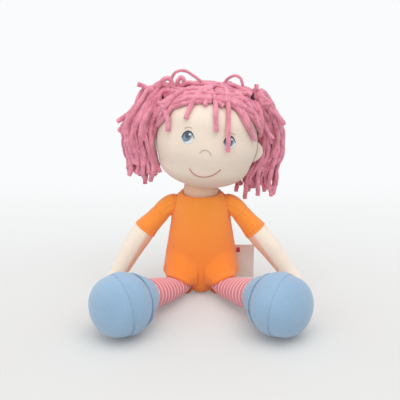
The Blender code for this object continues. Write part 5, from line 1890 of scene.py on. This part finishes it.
def make_collar(label, side, centre, way, body, turns):
    """The folded edge of the shoe, a little wavy, with its row of stitches."""
    place = frame_at(centre - way * (COLLAR + 0.3 * MM), way)
    ring = []
    for a in turns:
        wave = 0.35 * MM * math.sin(3 * a + side) + 0.25 * MM * math.sin(7 * a)
        ring.append(place @ Vector((23.0 * MM * math.cos(a), 23.0 * MM * math.sin(a), wave)))
    name = f"collar_roll_{label}"
    ring = [Vector((point.x, point.y, max(point.z, 1.6 * MM))) for point in ring]
    roll = place_in(name, welt(name, ring, 1.15 * MM, 12, wobble=0.35, seed=side * 3))
    finish(roll, "blue_cloth", body, replaces=(f"shoe_rim_{label}",))
    place = frame_at(centre - way * (COLLAR - 2.6 * MM), way)
    tree = surface_of(bpy.data.objects[f"shoe_bag_{label}"])
    row = [on_surface(tree, place @ Vector((28 * MM * math.cos(a), 28 * MM * math.sin(a), 0)), 0.04 * MM) for a in turns]
    seam = stitches(f"collar_stitches_{label}", [row], "blue_thread", 2.6 * MM, 0.2 * MM, 0.7, closed=True)
    finish(seam, "blue_thread", body)


def make_heel(label, side, centre, way, body):
    """The blue foot of the leg inside the shoe, gathered at the ankle seam."""
    stations = [
        (centre - way * 33.0 * MM, 0, 0),
        (centre - way * 32.2 * MM, 16.2 * MM, 16.2 * MM),
        (centre - way * 22.1 * MM, 18.8 * MM, 18.8 * MM),
        (centre - way * 14.0 * MM, 19.9 * MM, 19.9 * MM),
        (centre - way * 9.0 * MM, 19.0 * MM, 19.0 * MM),
        (centre - way * 8.0 * MM, 0, 0),
    ]
    name = f"heel_{label}"
    heel = subdivided(place_in(name, stuffed(name, stations, 60, 2.2 * MM)), 1)

    def heel_folds(point):
        turn, run, _ = turn_round(point, centre - way * 32.2 * MM, way)
        return tucks(turn, max(0.0, run), 19, 0.5 * MM, 5.0 * MM, 2.0 + side) + 0.25 * MM * bump_noise(point, 9 * MM, side)

    shaped(heel, heel_folds)
    rested(heel, 0.4 * MM)
    carved(heel, [ball(f"ankle_room_{label}", ANKLE[label], 15.1 * MM)])
    creased(heel, 60)
    finish(heel, "blue_cloth", body, replaces=(f"ankle_cuff_{label}",))


# Labels


def make_labels(context):
    """The bare satin label, curled a little, and the bare red tape, both from the left side seam."""
    low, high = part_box("care_label")
    low, high = Vector(low), Vector(high)
    start = Vector((low.x, low.y, low.z))
    along_way = Matrix.Rotation(math.radians(-42), 3, "Z") @ Vector((high.x - low.x, high.y - low.y, 0)).normalized()
    across = Vector((-along_way.y, along_way.x, 0))
    width, height, columns, rows = 20 * MM, 34 * MM, 28, 44
    bm = bmesh.new()
    grid = []
    for row in range(rows + 1):
        up = row / rows
        line = []
        for column in range(columns + 1):
            share = column / columns
            curl = 1.1 * MM * math.sin(2.1 * up + 0.6) * share + 1.2 * MM * share * share * math.sin(3 * up)
            ripple = 0.18 * MM * math.sin(9 * up + 3 * share)
            line.append(bm.verts.new(start + along_way * width * share + across * (curl + ripple) + Vector((0, 0, height * up))))
        grid.append(line)
    for lower, upper in zip(grid, grid[1:]):
        for k in range(columns):
            bm.faces.new((lower[k], lower[k + 1], upper[k + 1], upper[k]))
    label = place_in("satin_tab", mesh_from(bm, "satin_tab"))
    wall = label.modifiers.new("ribbon thickness", "SOLIDIFY")
    wall.thickness = 0.3 * MM
    wall.offset = 0
    applied(label)
    creased(label)
    finish(label, "satin_label", "torso", replaces=("care_label",))
    low, high = (Vector(corner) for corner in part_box("side_tag"))
    bm = bmesh.new()
    bmesh.ops.create_cube(bm, size=1.0)
    bmesh.ops.scale(bm, verts=bm.verts, vec=(high - low) * 0.96)
    bmesh.ops.translate(bm, verts=bm.verts, vec=(low + high) / 2)
    bmesh.ops.bevel(bm, geom=bm.edges[:], offset=0.12 * MM, segments=2, affect="EDGES")
    tag = place_in("tape_tab", mesh_from(bm, "tape_tab"))
    finish(tag, "red_tape", "torso", replaces=("side_tag",))


# Stage


def make_stage(context):
    """A pale floor that runs out of sight, soft light, and the camera of the photograph."""
    stage = context.scene.doll_stage
    scene = context.scene
    scene.view_settings.view_transform = "Standard"
    bm = bmesh.new()
    bmesh.ops.create_circle(bm, cap_ends=True, segments=96, radius=14.0)
    floor = place_in("floor", mesh_from(bm, "floor"))
    made = bpy.data.materials.new("pale_floor")
    made.use_nodes = True
    tree = made.node_tree
    shader, output = tree.nodes["Principled BSDF"], tree.nodes["Material Output"]
    shader.inputs["Base Color"].default_value = (*stage.floor, 1)
    shader.inputs["Roughness"].default_value = 0.8
    shader.inputs["Specular IOR Level"].default_value = 0.1
    vector = tree.nodes.new("ShaderNodeTexCoord").outputs["Object"]
    split = tree.nodes.new("ShaderNodeSeparateXYZ")
    tree.links.new(vector, split.inputs[0])
    far = ramp_node(tree, split.outputs[1], -0.20, 0.40)
    rays = tree.nodes.new("ShaderNodeLightPath")
    either = math_node(tree, "MAXIMUM", rays.outputs["Is Camera Ray"], rays.outputs["Is Glossy Ray"])
    glow = tree.nodes.new("ShaderNodeEmission")
    glow.inputs["Color"].default_value = (*stage.backdrop, 1)
    blend = tree.nodes.new("ShaderNodeMixShader")
    tree.links.new(math_node(tree, "MULTIPLY", far, either), blend.inputs[0])
    tree.links.new(shader.outputs[0], blend.inputs[1])
    tree.links.new(glow.outputs[0], blend.inputs[2])
    tree.links.new(blend.outputs[0], output.inputs["Surface"])
    floor.data.materials.append(made)

    world = bpy.data.worlds.new("studio")
    scene.world = world
    world.use_nodes = True
    tree = world.node_tree
    ground = tree.nodes["Background"]
    ground.inputs["Color"].default_value = (1, 1, 1, 1)
    ground.inputs["Strength"].default_value = stage.fill
    shown = tree.nodes.new("ShaderNodeBackground")
    shown.inputs["Color"].default_value = (*stage.backdrop, 1)
    rays = tree.nodes.new("ShaderNodeLightPath")
    blend = tree.nodes.new("ShaderNodeMixShader")
    either = math_node(tree, "MAXIMUM", rays.outputs["Is Camera Ray"], rays.outputs["Is Glossy Ray"])
    either = math_node(tree, "MAXIMUM", either, rays.outputs["Is Transmission Ray"])
    tree.links.new(either, blend.inputs[0])
    tree.links.new(ground.outputs[0], blend.inputs[1])
    tree.links.new(shown.outputs[0], blend.inputs[2])
    tree.links.new(blend.outputs[0], tree.nodes["World Output"].inputs["Surface"])

    for name, place, size, share in (
        ("overhead_light", (0.15, -0.35, 1.25), 1.3, 1.0),
        ("front_light", (-0.95, -1.15, 0.75), 0.9, 0.38),
    ):
        lamp = bpy.data.lights.new(name, "AREA")
        lamp.energy = stage.key_power * share
        lamp.size = size
        placed = place_in(name, lamp)
        placed.location = place
        placed.rotation_euler = (Vector((0, 0, 0.09)) - Vector(place)).to_track_quat("-Z", "Y").to_euler()

    lens = bpy.data.cameras.new("photo_camera")
    lens.lens = CAMERA_LENS
    lens.sensor_width = 36
    camera = place_in("photo_camera", lens)
    camera.location = CAMERA_PLACE
    camera.rotation_euler = (CAMERA_AIM - CAMERA_PLACE).to_track_quat("-Z", "Y").to_euler()
    lens.shift_x = -(PICTURE_MIDDLE[0] - PICTURE_SIZE / 2) / PICTURE_SIZE
    scene.camera = camera


# The add-on


class DOLL_OT_materials(bpy.types.Operator):
    """Make the cloth, yarn and thread materials"""

    bl_idname = "doll.materials"
    bl_label = "Materials"
    bl_options = {"REGISTER", "UNDO"}

    def execute(self, context):
        make_materials(context)
        return {"FINISHED"}


class DOLL_OT_body_suit(bpy.types.Operator):
    """Make the stuffed body suit"""

    bl_idname = "doll.body_suit"
    bl_label = "Body suit"
    bl_options = {"REGISTER", "UNDO"}

    def execute(self, context):
        make_body_suit(context)
        return {"FINISHED"}


class DOLL_OT_neck(bpy.types.Operator):
    """Make the neck and the fold under the chin"""

    bl_idname = "doll.neck"
    bl_label = "Neck"
    bl_options = {"REGISTER", "UNDO"}

    def execute(self, context):
        make_neck(context)
        return {"FINISHED"}


class DOLL_OT_head(bpy.types.Operator):
    """Make the stuffed head and ears"""

    bl_idname = "doll.head"
    bl_label = "Head"
    bl_options = {"REGISTER", "UNDO"}

    def execute(self, context):
        make_head(context)
        return {"FINISHED"}


class DOLL_OT_face(bpy.types.Operator):
    """Embroider the face"""

    bl_idname = "doll.face"
    bl_label = "Face"
    bl_options = {"REGISTER", "UNDO"}

    def execute(self, context):
        make_face(context)
        return {"FINISHED"}


class DOLL_OT_hair_cap(bpy.types.Operator):
    """Lay the rows of chenille on the head"""

    bl_idname = "doll.hair_cap"
    bl_label = "Hair on the head"
    bl_options = {"REGISTER", "UNDO"}

    def execute(self, context):
        make_hair_cap(context)
        return {"FINISHED"}


class DOLL_OT_bunches(bpy.types.Operator):
    """Hang the two bunches from their ties"""

    bl_idname = "doll.bunches"
    bl_label = "Bunches"
    bl_options = {"REGISTER", "UNDO"}

    def execute(self, context):
        make_bunches(context)
        return {"FINISHED"}


class DOLL_OT_arms(bpy.types.Operator):
    """Make the sleeves and arms"""

    bl_idname = "doll.arms"
    bl_label = "Arms"
    bl_options = {"REGISTER", "UNDO"}

    def execute(self, context):
        make_arms(context)
        return {"FINISHED"}


class DOLL_OT_legs(bpy.types.Operator):
    """Make the striped legs"""

    bl_idname = "doll.legs"
    bl_label = "Legs"
    bl_options = {"REGISTER", "UNDO"}

    def execute(self, context):
        make_legs(context)
        return {"FINISHED"}


class DOLL_OT_shoes(bpy.types.Operator):
    """Make the shoes, their collars and the heels"""

    bl_idname = "doll.shoes"
    bl_label = "Shoes"
    bl_options = {"REGISTER", "UNDO"}

    def execute(self, context):
        make_shoes(context)
        return {"FINISHED"}


class DOLL_OT_labels(bpy.types.Operator):
    """Make the bare label and tape"""

    bl_idname = "doll.labels"
    bl_label = "Labels"
    bl_options = {"REGISTER", "UNDO"}

    def execute(self, context):
        make_labels(context)
        return {"FINISHED"}


class DOLL_OT_stage(bpy.types.Operator):
    """Set the floor, light and camera"""

    bl_idname = "doll.stage"
    bl_label = "Stage"
    bl_options = {"REGISTER", "UNDO"}

    def execute(self, context):
        make_stage(context)
        return {"FINISHED"}


OPERATORS = (
    DOLL_OT_materials,
    DOLL_OT_body_suit,
    DOLL_OT_neck,
    DOLL_OT_head,
    DOLL_OT_face,
    DOLL_OT_hair_cap,
    DOLL_OT_bunches,
    DOLL_OT_arms,
    DOLL_OT_legs,
    DOLL_OT_shoes,
    DOLL_OT_labels,
    DOLL_OT_stage,
)


class DOLL_PT_panel(bpy.types.Panel):
    """The doll's settings and pieces in the 3D view's sidebar"""

    bl_label = "Cloth doll"
    bl_idname = "DOLL_PT_panel"
    bl_space_type = "VIEW_3D"
    bl_region_type = "UI"
    bl_category = "Cloth doll"

    def draw(self, context):
        for name, settings in SETTINGS.items():
            box = self.layout.box()
            for key in settings.__annotations__:
                box.prop(getattr(context.scene, name), key)
        for made in OPERATORS:
            self.layout.operator(made.bl_idname)


CLASSES = [*SETTINGS.values(), *OPERATORS, DOLL_PT_panel]


def register():
    for made in CLASSES:
        bpy.utils.register_class(made)
    for name, settings in SETTINGS.items():
        setattr(bpy.types.Scene, name, bpy.props.PointerProperty(type=settings))


def unregister():
    for name in SETTINGS:
        delattr(bpy.types.Scene, name)
    for made in reversed(CLASSES):
        bpy.utils.unregister_class(made)


def main():
    register()
    for made in OPERATORS:
        getattr(bpy.ops.doll, made.bl_idname.partition(".")[2])()


if __name__ == "__main__":
    main()
